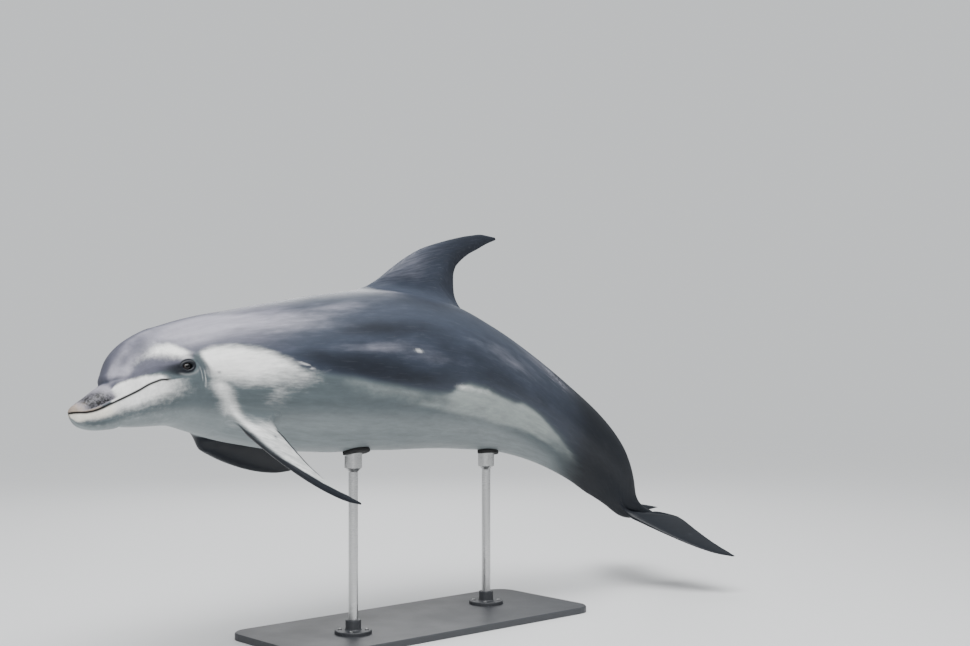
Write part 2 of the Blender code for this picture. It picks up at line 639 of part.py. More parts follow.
def main():
    for obj in list(bpy.data.objects):
        bpy.data.objects.remove(obj)
    spine = Spine()
    body = Body(spine)
    low = SIDE + 2
    body.add_fin("dorsal", 1.058, 1.406, [-1, 0, 1], DORSAL_FIN, dorsal_frame(spine), SHARES)
    left, right = flipper_frame(spine, -1, FLIPPER_LEFT), flipper_frame(spine, 1, FLIPPER_RIGHT)
    body.add_fin("flipper_left", 0.400, 0.560, [low, low + 1, low + 2], FLIPPER, left, FLIPPER_SHARES)
    body.add_fin("flipper_right", 0.400, 0.560, [-low, -low - 1, -low - 2], FLIPPER, right, FLIPPER_SHARES)
    for name, side in (("fluke_left", -1), ("fluke_right", 1)):
        cols = [-side * (SIDE - 1), -side * SIDE, -side * (SIDE + 1)]
        body.add_fin(name, 2.280, 2.480, cols, FLUKE, fluke_frame(spine, side), SHARES)

    upper = dict(first=-SIDE, last=SIDE)
    paint(solid("rostrum_upper", body.segment(0, CREASE, **upper)), "skin_flank")
    paint(solid("melon", body.segment(CREASE, GAPE, **upper)), "skin_flank")
    paint(solid("lower_jaw", body.segment(0, GAPE, first=SIDE, last=RING - SIDE)), "skin_pale")
    head = solid("head", body.segment(GAPE, NAPE))
    for name, side in (("eye_left", -1), ("eye_right", 1)):
        cut(head, ellipsoid("socket_cutter", spine, side, grow=GAP))
        paint(ellipsoid(name, spine, side), "eye")
    paint(head, "skin_flank")
    paint(solid("neck", body.segment(NAPE, SHOULDER)), "skin_flank")
    chest = body.segment(SHOULDER, CHEST_END, fins=("flipper_left", "flipper_right"))
    paint(solid("chest", chest), "skin_flank")
    paint(solid("trunk", body.segment(CHEST_END, TRUNK_END, fins=("dorsal",))), "skin_cape")
    paint(solid("tail_stock_front", body.segment(TRUNK_END, STOCK_MIDDLE)), "skin_cape")
    rear = body.segment(STOCK_MIDDLE, LENGTH, fins=("fluke_left", "fluke_right"))
    paint(solid("tail_stock_rear", rear), "skin_cape")
    paint(solid("dorsal_fin", body.fins["dorsal"].blade()), "skin_fin")
    for name in ("flipper_left", "flipper_right", "fluke_left", "fluke_right"):
        paint(solid(name, body.fins[name].blade()), "skin_fin")

    paint(base(), "stand_paint")
    post("front", body, FRONT_POST)
    post("rear", body, REAR_POST)
    gather()


main()
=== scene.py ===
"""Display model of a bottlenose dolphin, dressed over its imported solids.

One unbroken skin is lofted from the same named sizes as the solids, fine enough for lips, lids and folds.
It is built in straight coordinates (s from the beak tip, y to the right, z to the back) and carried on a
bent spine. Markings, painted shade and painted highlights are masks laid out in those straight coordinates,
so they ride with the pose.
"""

from functools import partial

import bmesh
import bpy
import numpy as np
from bpy.props import FloatProperty, FloatVectorProperty, PointerProperty, StringProperty
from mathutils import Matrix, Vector


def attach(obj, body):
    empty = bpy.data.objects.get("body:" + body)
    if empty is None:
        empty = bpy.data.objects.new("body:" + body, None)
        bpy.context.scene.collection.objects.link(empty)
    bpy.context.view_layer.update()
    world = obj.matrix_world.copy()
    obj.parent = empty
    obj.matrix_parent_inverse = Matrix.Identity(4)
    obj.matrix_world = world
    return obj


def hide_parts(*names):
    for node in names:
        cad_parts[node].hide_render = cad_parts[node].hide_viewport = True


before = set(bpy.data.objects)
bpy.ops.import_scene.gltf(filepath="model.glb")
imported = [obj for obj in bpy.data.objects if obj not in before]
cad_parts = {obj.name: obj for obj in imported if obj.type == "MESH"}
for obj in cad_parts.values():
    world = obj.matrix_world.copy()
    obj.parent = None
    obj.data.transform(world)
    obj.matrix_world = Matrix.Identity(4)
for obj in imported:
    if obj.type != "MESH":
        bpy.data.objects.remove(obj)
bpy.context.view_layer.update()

bl_info = {
    "name": "Dolphin display model",
    "version": (1, 0, 0),
    "blender": (4, 5, 0),
    "location": "3D View > Sidebar > Dolphin",
    "description": "Builds a life-size dolphin's skin, eyes, stand and studio round its solids",
    "category": "Object",
}

# ---- body: the solids' own sizes, in metres and degrees ------------------------------------------
LENGTH = 2.5
MID_POINT = (0.0, 0.0, 0.80)
# (share of length, heading about Z, climb towards the tail, bank with the left side up)
SPINE = (
    (0.00, 2.0, 15.0, 13.0),
    (0.12, 4.5, 13.0, 13.0),
    (0.20, 6.5, 5.5, 13.0),
    (0.30, 7.5, 2.5, 12.5),
    (0.42, 6.0, -4.0, 11.5),
    (0.52, 4.5, -8.5, 9.5),
    (0.62, 2.0, -17.0, 6.5),
    (0.72, -1.0, -25.0, 3.0),
    (0.80, -3.0, -31.0, 0.0),
    (0.87, -4.5, -43.0, -3.0),
    (0.93, -5.5, -58.0, -5.0),
    (0.97, -6.0, -23.0, -7.0),
    (1.00, -6.0, -4.0, -8.0),
)
# (distance from the tip, top, bottom, half width, widest height, roundness above, roundness below).
# The first rows give a blunter, deeper jaw tip than the solids have.
BODY = (
    (0.000, 0.003, -0.018, 0.005, -0.006, 2.0, 2.0),
    (0.008, 0.012, -0.034, 0.018, -0.007, 2.1, 2.1),
    (0.025, 0.019, -0.048, 0.029, -0.009, 2.2, 2.2),
    (0.050, 0.026, -0.060, 0.037, -0.010, 2.3, 2.2),
    (0.080, 0.036, -0.068, 0.044, -0.010, 2.3, 2.2),
    (0.112, 0.047, -0.073, 0.051, -0.008, 2.2, 2.2),
    (0.122, 0.066, -0.072, 0.055, -0.006, 2.0, 2.2),
    (0.135, 0.085, -0.077, 0.062, -0.004, 1.95, 2.2),
    (0.155, 0.106, -0.083, 0.074, 0.000, 1.95, 2.2),
    (0.185, 0.124, -0.091, 0.090, 0.005, 2.0, 2.2),
    (0.220, 0.137, -0.099, 0.106, 0.008, 2.05, 2.2),
    (0.270, 0.147, -0.112, 0.120, 0.010, 2.05, 2.15),
    (0.330, 0.150, -0.145, 0.133, 0.004, 2.0, 2.1),
    (0.400, 0.153, -0.180, 0.148, -0.008, 2.0, 2.1),
    (0.500, 0.156, -0.212, 0.168, -0.022, 2.0, 2.1),
    (0.700, 0.171, -0.258, 0.200, -0.040, 2.0, 2.1),
    (0.900, 0.192, -0.277, 0.219, -0.040, 2.0, 2.05),
    (1.100, 0.215, -0.274, 0.226, -0.028, 1.95, 2.0),
    (1.300, 0.212, -0.259, 0.212, -0.020, 1.9, 2.0),
    (1.500, 0.183, -0.236, 0.180, -0.022, 1.85, 1.95),
    (1.700, 0.153, -0.198, 0.142, -0.020, 1.8, 1.9),
    (1.900, 0.129, -0.167, 0.105, -0.018, 1.7, 1.8),
    (2.075, 0.112, -0.147, 0.074, -0.016, 1.6, 1.7),
    (2.200, 0.096, -0.130, 0.052, -0.016, 1.55, 1.6),
    # from here the skin is lower and narrower than the solids, so that it flows into the flukes
    (2.265, 0.080, -0.111, 0.0415, -0.020, 1.60, 1.65),
    (2.310, 0.066, -0.092, 0.0350, -0.026, 1.65, 1.70),
    (2.350, 0.051, -0.073, 0.0310, -0.026, 1.70, 1.75),
    (2.385, 0.037, -0.057, 0.0290, -0.020, 1.75, 1.75),
    (2.420, 0.024, -0.038, 0.0260, -0.012, 1.80, 1.80),
    (2.450, 0.015, -0.022, 0.0220, -0.005, 1.80, 1.80),
    (2.480, 0.008, -0.010, 0.0170, -0.001, 1.80, 1.80),
    (2.500, 0.004, -0.005, 0.0100, 0.000, 2.00, 2.00),
)
# The mouth line on the side of the head, and its unseen guide behind: (s, z)
MOUTH = (
    (0.000, 0.001), (0.012, -0.004), (0.034, -0.012), (0.056, -0.0145), (0.094, -0.011),
    (0.130, -0.0065), (0.162, -0.0015), (0.194, 0.0055), (0.216, 0.0065), (0.236, 0.001),
    (0.300, -0.008), (0.500, -0.040), (0.900, -0.080), (1.500, -0.060), (2.000, -0.035),
    (2.200, -0.032), (2.290, -0.044), (2.330, -0.056), (2.360, -0.053), (2.385, -0.040), (2.401, -0.028),
    (2.434, -0.011), (2.474, -0.001), (2.500, 0.000),
)
BEAK_TIP = (-0.001, 0.000)
NOTCH_TIP = (2.490, 0.000)
GAPE = 0.236                     # corner of the mouth

# ---- fins: (share of span, lead aft, lead out, trail aft, trail out, half thickness) --------------
DORSAL_FIN = (
    (0.00, -0.105, 0.250, 0.252, 0.226, 0.0230),
    (0.14, -0.034, 0.303, 0.236, 0.268, 0.0190),
    (0.29, 0.036, 0.349, 0.238, 0.307, 0.0160),
    (0.43, 0.102, 0.384, 0.250, 0.340, 0.0130),
    (0.57, 0.172, 0.411, 0.276, 0.366, 0.0100),
    (0.71, 0.250, 0.438, 0.315, 0.394, 0.0075),
    (0.84, 0.330, 0.461, 0.364, 0.420, 0.0050),
    (0.94, 0.398, 0.474, 0.412, 0.446, 0.0032),
    (1.00, 0.450, 0.474, 0.455, 0.465, 0.0018),
)
FLIPPER = (
    (0.00, -0.088, 0.050, 0.052, 0.044, 0.0200),
    (0.16, -0.080, 0.110, 0.056, 0.090, 0.0165),
    (0.34, -0.066, 0.170, 0.050, 0.146, 0.0135),
    (0.52, -0.044, 0.226, 0.046, 0.206, 0.0105),
    (0.68, -0.016, 0.276, 0.054, 0.262, 0.0078),
    (0.82, 0.022, 0.320, 0.072, 0.304, 0.0055),
    (0.93, 0.066, 0.350, 0.096, 0.334, 0.0036),
    (1.00, 0.108, 0.362, 0.114, 0.352, 0.0018),
)
# The right flipper is swept far back, so its chord along the body is longer for the same width of blade
SWEPT_TRAIL = (0.052, 0.070, 0.102, 0.112, 0.113, 0.114, 0.115, 0.118)
SWEPT_FLIPPER = tuple((*row[:3], aft, *row[4:]) for row, aft in zip(FLIPPER, SWEPT_TRAIL))
FLUKE = (
    (0.00, -0.072, 0.062, 0.142, 0.052, 0.0150),
    (0.18, -0.048, 0.105, 0.152, 0.098, 0.0120),
    (0.36, -0.020, 0.155, 0.154, 0.146, 0.0095),
    (0.54, 0.012, 0.206, 0.158, 0.194, 0.0072),
    (0.70, 0.046, 0.254, 0.164, 0.240, 0.0055),
    (0.84, 0.086, 0.298, 0.174, 0.284, 0.0040),
    (0.94, 0.126, 0.328, 0.184, 0.316, 0.0028),
    (1.00, 0.172, 0.346, 0.190, 0.340, 0.0016),
)
DORSAL_AT = 1.200
FLIPPER_AT = 0.460
# Joint out and up from the spine, angle below the side, sweep back, turn of the trailing edge
FLIPPER_LEFT = (0.092, -0.136, 53.0, 8.0, 16.0)
FLIPPER_RIGHT = (0.106, -0.153, 56.0, 51.5, -6.5)
FLUKE_AT = 2.420
FLUKE_TURN = (-11.0, -4.0, -10.0)
FLUKE_DROOP = 12.0
EYE_AT = (0.294, 0.1120, 0.019)      # along, out, up
EYE_HALF = (0.0150, 0.0145, 0.0115)


def to_linear(code):
    """An sRGB hex code as the linear values that shaders take."""
    parts = (int(code[k:k + 2], 16) / 255 for k in (1, 3, 5))
    return tuple(v / 12.92 if v <= 0.04045 else ((v + 0.055) / 1.055) ** 2.4 for v in parts)


def unit(v):
    return v / np.maximum(np.linalg.norm(v, axis=-1, keepdims=True), 1e-12)


def step(low, high, x):
    """Smooth rise from 0 at low to 1 at high."""
    t = np.clip((np.asarray(x, float) - low) / (high - low), 0, 1)
    return t * t * (3 - 2 * t)


def bump(x, centre, width):
    """1 at the centre, falling off smoothly over the width."""
    return np.exp(-((x - centre) / width) ** 2)


def monotone(table, x, column=1):
    """Smooth curve through a table's stations that never overshoots them."""
    table = np.array(table)
    xs, ys, x = table[:, 0], table[:, column], np.asarray(x, float)
    h = np.diff(xs)
    d = np.diff(ys) / h
    m = np.zeros(len(xs))
    both = d[:-1] * d[1:] > 0
    w1 = 2 * h[1:] + h[:-1]
    w2 = h[1:] + 2 * h[:-1]
    safe = np.where(both, d[:-1], 1.0), np.where(both, d[1:], 1.0)
    m[1:-1] = np.where(both, (w1 + w2) / (w1 / safe[0] + w2 / safe[1]), 0.0)
    m[0], m[-1] = d[0], d[-1]
    k = np.clip(np.searchsorted(xs, x, side="right") - 1, 0, len(xs) - 2)
    t = (x - xs[k]) / h[k]
    a = (1 + 2 * t) * (1 - t) ** 2 * ys[k] + t * (1 - t) ** 2 * h[k] * m[k]
    return a + t * t * (3 - 2 * t) * ys[k + 1] + t * t * (t - 1) * h[k] * m[k + 1]


def axes(yaw, climb, bank):
    """Back, right and up for a heading, a climb towards the tail and a bank, all in radians."""
    back = np.stack([np.cos(climb) * np.cos(yaw), np.cos(climb) * np.sin(yaw), np.sin(climb)], -1)
    up = np.stack([-np.sin(climb) * np.cos(yaw), -np.sin(climb) * np.sin(yaw), np.cos(climb)], -1)
    right = np.cross(up, back)
    cb, sb = np.cos(bank)[..., None], np.sin(bank)[..., None]
    return back, cb * right - sb * up, cb * up + sb * right


class Spine:
    """The bent centre line and the frame that rides along it."""

    def __init__(self, steps=500):
        self.s = np.linspace(0, LENGTH, steps + 1)
        share = self.s / LENGTH
        self.back, self.right, self.up = axes(*(np.radians(monotone(SPINE, share, k)) for k in (1, 2, 3)))
        path = np.zeros_like(self.back)
        path[1:] = np.cumsum((self.back[1:] + self.back[:-1]) / 2 * np.diff(self.s)[:, None], axis=0)
        self.path = path - path[steps // 2] + np.array(MID_POINT)

    def frame(self, s):
        """Place, back, right and up at distance s."""
        tables = (self.path, self.back, self.right, self.up)
        return tuple(np.stack([np.interp(s, self.s, t[:, k]) for k in range(3)], -1) for t in tables)

    def place(self, s, y, z):
        o, _, r, u = self.frame(s)
        return o + r * np.asarray(y)[..., None] + u * np.asarray(z)[..., None]


SPINE_LINE = Spine()


def profile(s, a):
    """The straight body's y and z at distance s, a degrees round from the back; left is positive."""
    s, a = np.broadcast_arrays(np.asarray(s, float), np.asarray(a, float))
    top, low, half, wide, up_n, low_n = (monotone(BODY, s, k) for k in range(1, 7))
    mouth = monotone(MOUTH, s)
    high = np.clip((mouth - wide) / (top - wide), 0, 1) ** (up_n / 2)
    deep = np.clip((wide - mouth) / (wide - low), 0, 1) ** (low_n / 2)
    side = np.where(mouth >= wide, np.arccos(high), np.pi - np.arccos(deep))
    # The ring's angle runs through (0, 0), (90, side) and (180, pi) on a monotone curve.
    d0, d1 = side, np.pi - side
    m1 = 2 * d0 * d1 / (d0 + d1)
    turn = np.abs(a) / 90
    t = turn - (turn > 1)
    near = t * t * (3 - 2 * t) * side + t * (1 - t) ** 2 * d0 + t * t * (t - 1) * m1
    far = side + t * t * (3 - 2 * t) * (np.pi - side) + t * (1 - t) ** 2 * m1 + t * t * (t - 1) * d1
    angle = np.where(turn <= 1, near, far)
    c, k = np.cos(angle), np.sin(angle)
    n = np.where(c >= 0, up_n, low_n)
    z = wide + np.where(c >= 0, top - wide, wide - low) * np.sign(c) * np.abs(c) ** (2 / n)
    return -np.sign(a) * half * np.abs(k) ** (2 / n), z


def on_skin(s, a):
    y, z = profile(s, a)
    return SPINE_LINE.place(np.broadcast_to(s, y.shape), y, z)


# ---- fin frames: root, aft, out and upper ----------------------------------------------------------
def dorsal_frame():
    o, back, right, up = SPINE_LINE.frame(DORSAL_AT)
    return o, back, up, right


def flipper_frame(side, joint):
    o, back, right, up = SPINE_LINE.frame(FLIPPER_AT)
    below, sweep, turn = np.radians(joint[2:])
    out = np.cos(below) * side * right - np.sin(below) * up
    inward = -np.sin(below) * side * right - np.cos(below) * up
    chord = np.cos(turn) * back + np.sin(turn) * inward
    upper = np.sin(turn) * back - np.cos(turn) * inward
    root = o + right * side * joint[0] + up * joint[1]
    return root, chord, np.cos(sweep) * out + np.sin(sweep) * chord, upper


def fluke_frame(side):
    back, right, up = axes(*(np.radians(angle) for angle in FLUKE_TURN))
    droop = np.radians(FLUKE_DROOP)
    out = np.cos(droop) * side * right - np.sin(droop) * up
    return SPINE_LINE.frame(FLUKE_AT)[0], back, out, np.cos(droop) * up + np.sin(droop) * side * right


def fin_section(table, frame_, v, turn):
    """Points round the aerofoil at share v of the span; turn 0 is the leading edge, pi the trailing."""
    lead_a, lead_o, trail_a, trail_o, half = (float(monotone(table, v, k)) for k in range(1, 6))
    o, aft, out, upper = frame_
    x = (1 - np.cos(turn)) / 2
    foil = 2.96 * np.sqrt(x) - 1.26 * x - 3.516 * x ** 2 + 2.843 * x ** 3 - 1.027 * x ** 4
    w = np.sign(np.round(np.sin(turn), 9)) * (half * foil + 0.0004 * np.sin(np.pi * x) ** 0.5)
    a = lead_a + x * (trail_a - lead_a)
    b = lead_o + x * (trail_o - lead_o)
    return o + a[:, None] * aft + b[:, None] * out + w[:, None] * upper


# ---- the skin's grid -------------------------------------------------------------------------------
def stations(*runs):
    """Distances from (start, end, spacing) runs that follow one another."""
    made = []
    for start, end, gap in runs:
        count = max(1, round((end - start) / gap))
        made += list(np.linspace(start, end, count + 1)[:-1])
    return np.array(made + [runs[-1][1]])


ROWS = stations(
    (0.000, 0.020, 0.0018), (0.020, 0.100, 0.0030), (0.100, 0.166, 0.0016), (0.166, 0.240, 0.0030),
    (0.240, 0.345, 0.0021), (0.345, 0.373, 0.0040), (0.373, 0.533, 0.0050), (0.533, 0.985, 0.0141),
    (0.985, 1.495, 0.0102), (1.495, 2.180, 0.0140), (2.180, 2.316, 0.0062), (2.316, 2.480, 0.0055),
    (2.480, 2.488, 0.0027),
)
HALF_COLS = np.concatenate([
    stations((0, 10, 2.0), (10, 60, 2.5), (60, 80, 2.0)),
    [82, 84, 85.5, 86.75, 87.75, 88.5, 89.1, 89.6, 90, 90.4, 90.9, 91.5, 92.25, 93.25, 94.5, 96, 98, 100],
    stations((100, 180, 2.5))[1:],
])
COLS = np.concatenate([HALF_COLS, -HALF_COLS[-2:0:-1]])  # back, left side, belly, right side
RING = len(COLS)

# Each fin: table, frame, coarse rows of its root patch, the patch's columns, first share of the span,
# its kind, and its island in the map as left, low, right and high
FLIPPER_ROWS = (0.373, 0.413, 0.453, 0.493, 0.533)
FLUKE_ROWS = (2.316, 2.344, 2.371, 2.398, 2.425, 2.452, 2.480)
DORSAL_ROWS = (0.985, 1.070, 1.155, 1.240, 1.325, 1.410, 1.495)
BODY_PART, DORSAL_PART, FLIPPER_PART, FLUKE_PART = range(4)
FINS = (
    (DORSAL_FIN, dorsal_frame(), DORSAL_ROWS, (-10, 10), 0.13, DORSAL_PART, (0.01, 0.66, 0.27, 0.99)),
    (FLIPPER, flipper_frame(-1, FLIPPER_LEFT), FLIPPER_ROWS, (125, 150), 0.12,
     FLIPPER_PART, (0.28, 0.66, 0.43, 0.99)),
    (SWEPT_FLIPPER, flipper_frame(1, FLIPPER_RIGHT), FLIPPER_ROWS, (-125, -150), 0.12,
     FLIPPER_PART, (0.44, 0.66, 0.59, 0.99)),
    (FLUKE, fluke_frame(-1), FLUKE_ROWS, (70, 102.5), 0.06, FLUKE_PART, (0.60, 0.66, 0.75, 0.99)),
    (FLUKE, fluke_frame(1), FLUKE_ROWS, (-70, -102.5), 0.06, FLUKE_PART, (0.76, 0.66, 0.91, 0.99)),
)
UPPER_MARK = 0.1                 # added to a fin point's part on one face, taken off on the other
BLEND = 14                       # rings from the body's skin to a fin's first section
SPAN_RINGS = 40                  # rings along each fin
TIP_RINGS = 6                    # rings that round off a fin's end
TIP_REACH = 0.8                  # how far they run on, as a share of the last half chord
REACH = 0.42                     # pull of the blend's ends, as a share of its length

LID = (0.0150, 0.0105)           # half opening between the lids, along and up
LID_TURN_IN = ((0.0004, 0.0012), (0.0006, 0.0030), (0.0006, 0.0060), (0.0006, 0.0095))   # (inward, deep)
EYE_PATCH = ((0.2655, 0.3225), (68.0, 98.0))
EYE_RINGS = 16
EYE_MARK, LID_MARK = 9.0, 10.1   # x of the rings round the eye, and of those inside the lid
EYE_ISLANDS = ((-1, (0.92, 0.84, 0.99, 0.99)), (1, (0.92, 0.66, 0.99, 0.82)))


class Mesh:
    """Points, quads, and a map corner for each corner of each quad, gathered block by block.

    Each point keeps s and a, its place on the straight body; part, the fin it is on; v and x, its shares of
    that fin's span and chord; and out, how far along the skin it lies from the fin's root.
    """

    def __init__(self):
        self.points, self.tags, self.faces, self.maps = [], [], [], []
        self.count = 0

    def add(self, points, s, a, part=BODY_PART, v=0.0, x=0.0, out=0.0):
        n = len(points)
        self.points.append(np.asarray(points, float))
        self.tags.append(np.array([np.broadcast_to(value, (n,)) for value in (s, a, part, v, x, out)], float))
        self.count += n
        return np.arange(self.count - n, self.count)

    def quads(self, grid, u, v, keep=None, flip=False):
        """Faces over a grid of point numbers, whose map positions are u and v; flip turns them over."""
        where = np.stack(np.broadcast_arrays(u, v), -1)
        faces, spots = (
            np.stack([of[:-1, :-1], of[:-1, 1:], of[1:, 1:], of[1:, :-1]], 2) for of in (grid, where))
        faces, spots = faces.reshape(-1, 4), spots.reshape(-1, 4, 2)
        if keep is not None:
            faces, spots = faces[keep.ravel()], spots[keep.ravel()]
        if flip:
            faces, spots = faces[:, ::-1], spots[:, ::-1]
        self.faces.append(faces)
        self.maps.append(spots)


def nearest(values, wanted):
    return int(np.argmin(np.abs(values - wanted)))


def hole(rows, cols):
    """First and last grid row of a hole, and its columns from the first named one to the second."""
    r0, r1 = (nearest(ROWS, s) for s in rows)
    c0, c1 = (nearest(COLS, c) for c in cols)
    if cols[0] * cols[1] < 0:
        return r0, r1, [c % RING for c in range(c0 - RING, c1 + 1)]
    way = 1 if c1 > c0 else -1
    return r0, r1, list(range(c0, c1 + way, way))


def round_edge(r0, r1, cols):
    """The (row, column) pairs round a block of a grid, in order."""
    order = [(i, cols[0]) for i in range(r0, r1 + 1)] + [(r1, c) for c in cols[1:]]
    return order + [(i, cols[-1]) for i in range(r1 - 1, r0 - 1, -1)] + [(r0, c) for c in cols[-2:0:-1]]


def closed(rings):
    """Rings of point numbers as a grid whose last column is its first."""
    grid = np.array(rings)
    return np.concatenate([grid, grid[:, :1]], 1)


def inward(cols, coarse, long, wide):
    """Directions along the skin into the patch, at the coarse points of its edge."""
    ring = np.linspace(cols[0], cols[1], wide + 1)
    grid = np.array([on_skin(s, ring) for s in coarse])
    steps = []
    for i, j in round_edge(0, long, range(wide + 1)):
        d = np.zeros(3)
        if j == 0:
            d += unit(grid[i, 1] - grid[i, 0])
        if j == wide:
            d += unit(grid[i, wide - 1] - grid[i, wide])
        if i == 0:
            d += unit(grid[1, j] - grid[0, j])
        if i == long:
            d += unit(grid[long - 1, j] - grid[long, j])
        steps.append(unit(d))
    return np.array(steps)


def add_fin(mesh, body_grid, fin):
    """Rings from a hole in the body's grid to the fin's tip, sharing the hole's edge points."""
    table, frame_, coarse, cols, first_share, kind, island = fin

    def section(share):
        return fin_section(table, frame_, share, turn)

    def ring(points, v, out):
        rings.append(mesh.add(points, edge_s, edge_a, kind + UPPER_MARK * face, v, x, out))

    long, wide = len(coarse) - 1, 2
    count = 2 * (long + wide)
    r0, r1, col_ids = hole((coarse[0], coarse[-1]), cols)
    order = round_edge(r0, r1, col_ids)
    edge_s, edge_a = (np.array(axis) for axis in zip(*((ROWS[i], COLS[c]) for i, c in order)))
    # how far round the hole each edge point is, in coarse steps
    rows_at = np.interp(ROWS[r0:r1 + 1], coarse, np.arange(long + 1))
    cols_at = np.abs(COLS[col_ids] - cols[0]) / abs(cols[1] - cols[0]) * wide
    round_at = np.concatenate([
        rows_at, long + cols_at[1:], 2 * long + wide - rows_at[-2::-1], count - cols_at[-2:0:-1]])
    edge = on_skin(edge_s, edge_a)
    leads = inward(cols, coarse, long, wide)
    k = round_at % count
    low = np.floor(k).astype(int)
    lead = unit(leads[low] * (1 - k + low)[:, None] + leads[(low + 1) % count] * (k - low)[:, None])
    turn = 2 * np.pi * (round_at + wide / 2) / count
    x, face = (1 - np.cos(turn)) / 2, np.sign(np.round(np.sin(turn), 6))
    first = section(first_share)
    rise = unit(section(first_share + 0.05) - first)
    span = np.linalg.norm(first - edge, axis=1, keepdims=True)
    rings = [np.array([body_grid[i, c] for i, c in order])]
    levels = np.arange(BLEND + 1) / (BLEND + 1) - 1
    shares = first_share + (1 - first_share) * (1 - (1 - np.linspace(0, 1, SPAN_RINGS)) ** 1.25)
    far, last = 0.0, edge
    for n in range(1, BLEND + 1):
        t = n / (BLEND + 1)
        pulls = 3 * (edge + lead * span * REACH) * (1 - t) + 3 * (first - rise * span * REACH) * t
        p = edge * (1 - t) ** 3 + pulls * t * (1 - t) + first * t ** 3
        far, last = far + np.linalg.norm(p - last, axis=1), p
        ring(p, t - 1, far)
    for v in shares:
        p = section(v)
        far, last = far + np.linalg.norm(p - last, axis=1), p
        ring(p, v, far)
    # a rounded end: the last section shrinks as it runs on
    middle = p.mean(0)
    onward = unit(middle - section(0.96).mean(0))
    half_chord = np.linalg.norm(p - middle, axis=1).max()
    for n in range(1, TIP_RINGS + 1):
        t = 0.48 * np.pi * n / TIP_RINGS
        q = middle + (p - middle) * np.cos(t) + onward * half_chord * TIP_REACH * np.sin(t)
        ring(q, 1.0, far + half_chord * np.sin(t))
    levels = np.concatenate([levels, shares, 1.0 + 0.05 * np.arange(1, TIP_RINGS + 1) / TIP_RINGS])
    grid = closed(rings)
    u0, v0, u1, v1 = island
    rising = cols[0] < cols[1]                 # the loop runs the other way round on the right side
    up_map = v0 + (v1 - v0) * (levels + 1) / 2.12
    mesh.quads(grid, np.linspace(u0, u1, grid.shape[1])[None, :], up_map[:, None], flip=rising)
    # the tip: a small sheet inside the last ring
    rows_n, cols_n = r1 - r0, len(col_ids) - 1
    loop, last = rings[-1], mesh.points[-1]
    near_side, far_side = slice(0, rows_n + 1), slice(rows_n + cols_n, 2 * rows_n + cols_n + 1)
    sheet = np.zeros((rows_n + 1, cols_n + 1), int)
    sheet[:, 0], sheet[:, -1] = loop[near_side], loop[far_side][::-1]
    sheet[-1], sheet[0, 1:-1] = loop[rows_n:rows_n + cols_n + 1], loop[2 * rows_n + cols_n + 1:][::-1]
    near_points, far_points = last[near_side], last[far_side][::-1]
    for j in range(1, cols_n):
        p = (near_points * (1 - j / cols_n) + far_points * j / cols_n)[1:-1]
        sheet[1:-1, j] = mesh.add(p, coarse[0], cols[0], kind, 1.0, 0.5, far.mean())
    uu, vv = np.linspace(u0, u1, rows_n + 1), np.linspace(v1 - 0.01, v1, cols_n + 1)
    mesh.quads(sheet, uu[:, None], vv[None, :], flip=not rising)
    return slice(r0, r1), col_ids[:-1] if rising else col_ids[1:]


def add_eye_patch(mesh, body_grid, side, island):
    """Rings from a hole in the grid to the lids' edge and in behind it. Side -1 is the left."""
    sign = -side
    r0, r1, col_ids = hole(EYE_PATCH[0], [sign * a for a in EYE_PATCH[1]])
    order = round_edge(r0, r1, col_ids)
    edge_s, edge_a = (np.array(axis) for axis in zip(*((ROWS[i], COLS[c]) for i, c in order)))
    rings = [np.array([body_grid[i, c] for i, c in order])]
    # The lids' opening in the plane beside the head: along the body, and up
    es, _, ez = EYE_AT
    edge_z = profile(edge_s, edge_a)[1]
    turn = np.arctan2(edge_z - ez, edge_s - es)
    angles = np.linspace(60, 110, 1001) * sign
    cs, sn = np.cos(turn), np.sin(turn)
    pinch = 1 - 0.30 * np.abs(cs) ** 6            # the corners are drawn out to points
    rim_s = es + LID[0] * np.sign(cs) * np.abs(cs) ** 0.85
    rim_z = ez + LID[1] * np.sign(sn) * np.abs(sn) ** 1.15 * pinch - 0.0012 * cs
    for n in range(1, EYE_RINGS + 1):
        t = n / EYE_RINGS
        w = 1 - (1 - t) ** 1.6
        s, z = edge_s + (rim_s - edge_s) * w, edge_z + (rim_z - edge_z) * w
        a = angles[np.argmin(np.abs(profile(s[:, None], angles[None, :])[1] - z[:, None]), 1)]
        rings.append(mesh.add(on_skin(s, a), s, a, BODY_PART, w, EYE_MARK + t))
    # behind the edge the lid turns in against the eyeball
    out_dir = SPINE_LINE.frame(es)[2] * side
    last = mesh.points[-1]
    for n, (inset, depth) in enumerate(LID_TURN_IN):
        p = last + (last.mean(0) - last) * inset / 0.012 - out_dir * depth
        rings.append(mesh.add(p, es, sign * 82.0, BODY_PART, 1.0, LID_MARK + n))
    grid = closed(rings)
    u0, v0, u1, v1 = island
    across, along_map = np.linspace(u0, u1, grid.shape[1]), np.linspace(v0, v1, grid.shape[0])
    mesh.quads(grid, across[None, :], along_map[:, None], flip=sign > 0)
    return slice(r0, r1), col_ids[:-1] if sign > 0 else col_ids[1:]


# ---- relief: lips, creases, lids and folds, in metres along the skin's normal ----------------------
CREASE_LINE = (
    (0, 0.1125), (30, 0.1160), (42, 0.1210), (52, 0.1300), (62, 0.1430), (70, 0.1600), (76, 0.1850),
)
FOLDS = (                    # folds behind the eye: how far behind it, depth, first and last angle round
    (0.0240, 0.0009, 76, 99), (0.0315, 0.0012, 72, 106), (0.0390, 0.0010, 79, 105), (0.0475, 0.0007, 73, 96),
)
NECK_CREASES = ((0.362, 0.0012), (0.392, 0.0014))
EAR_AT = 0.3665


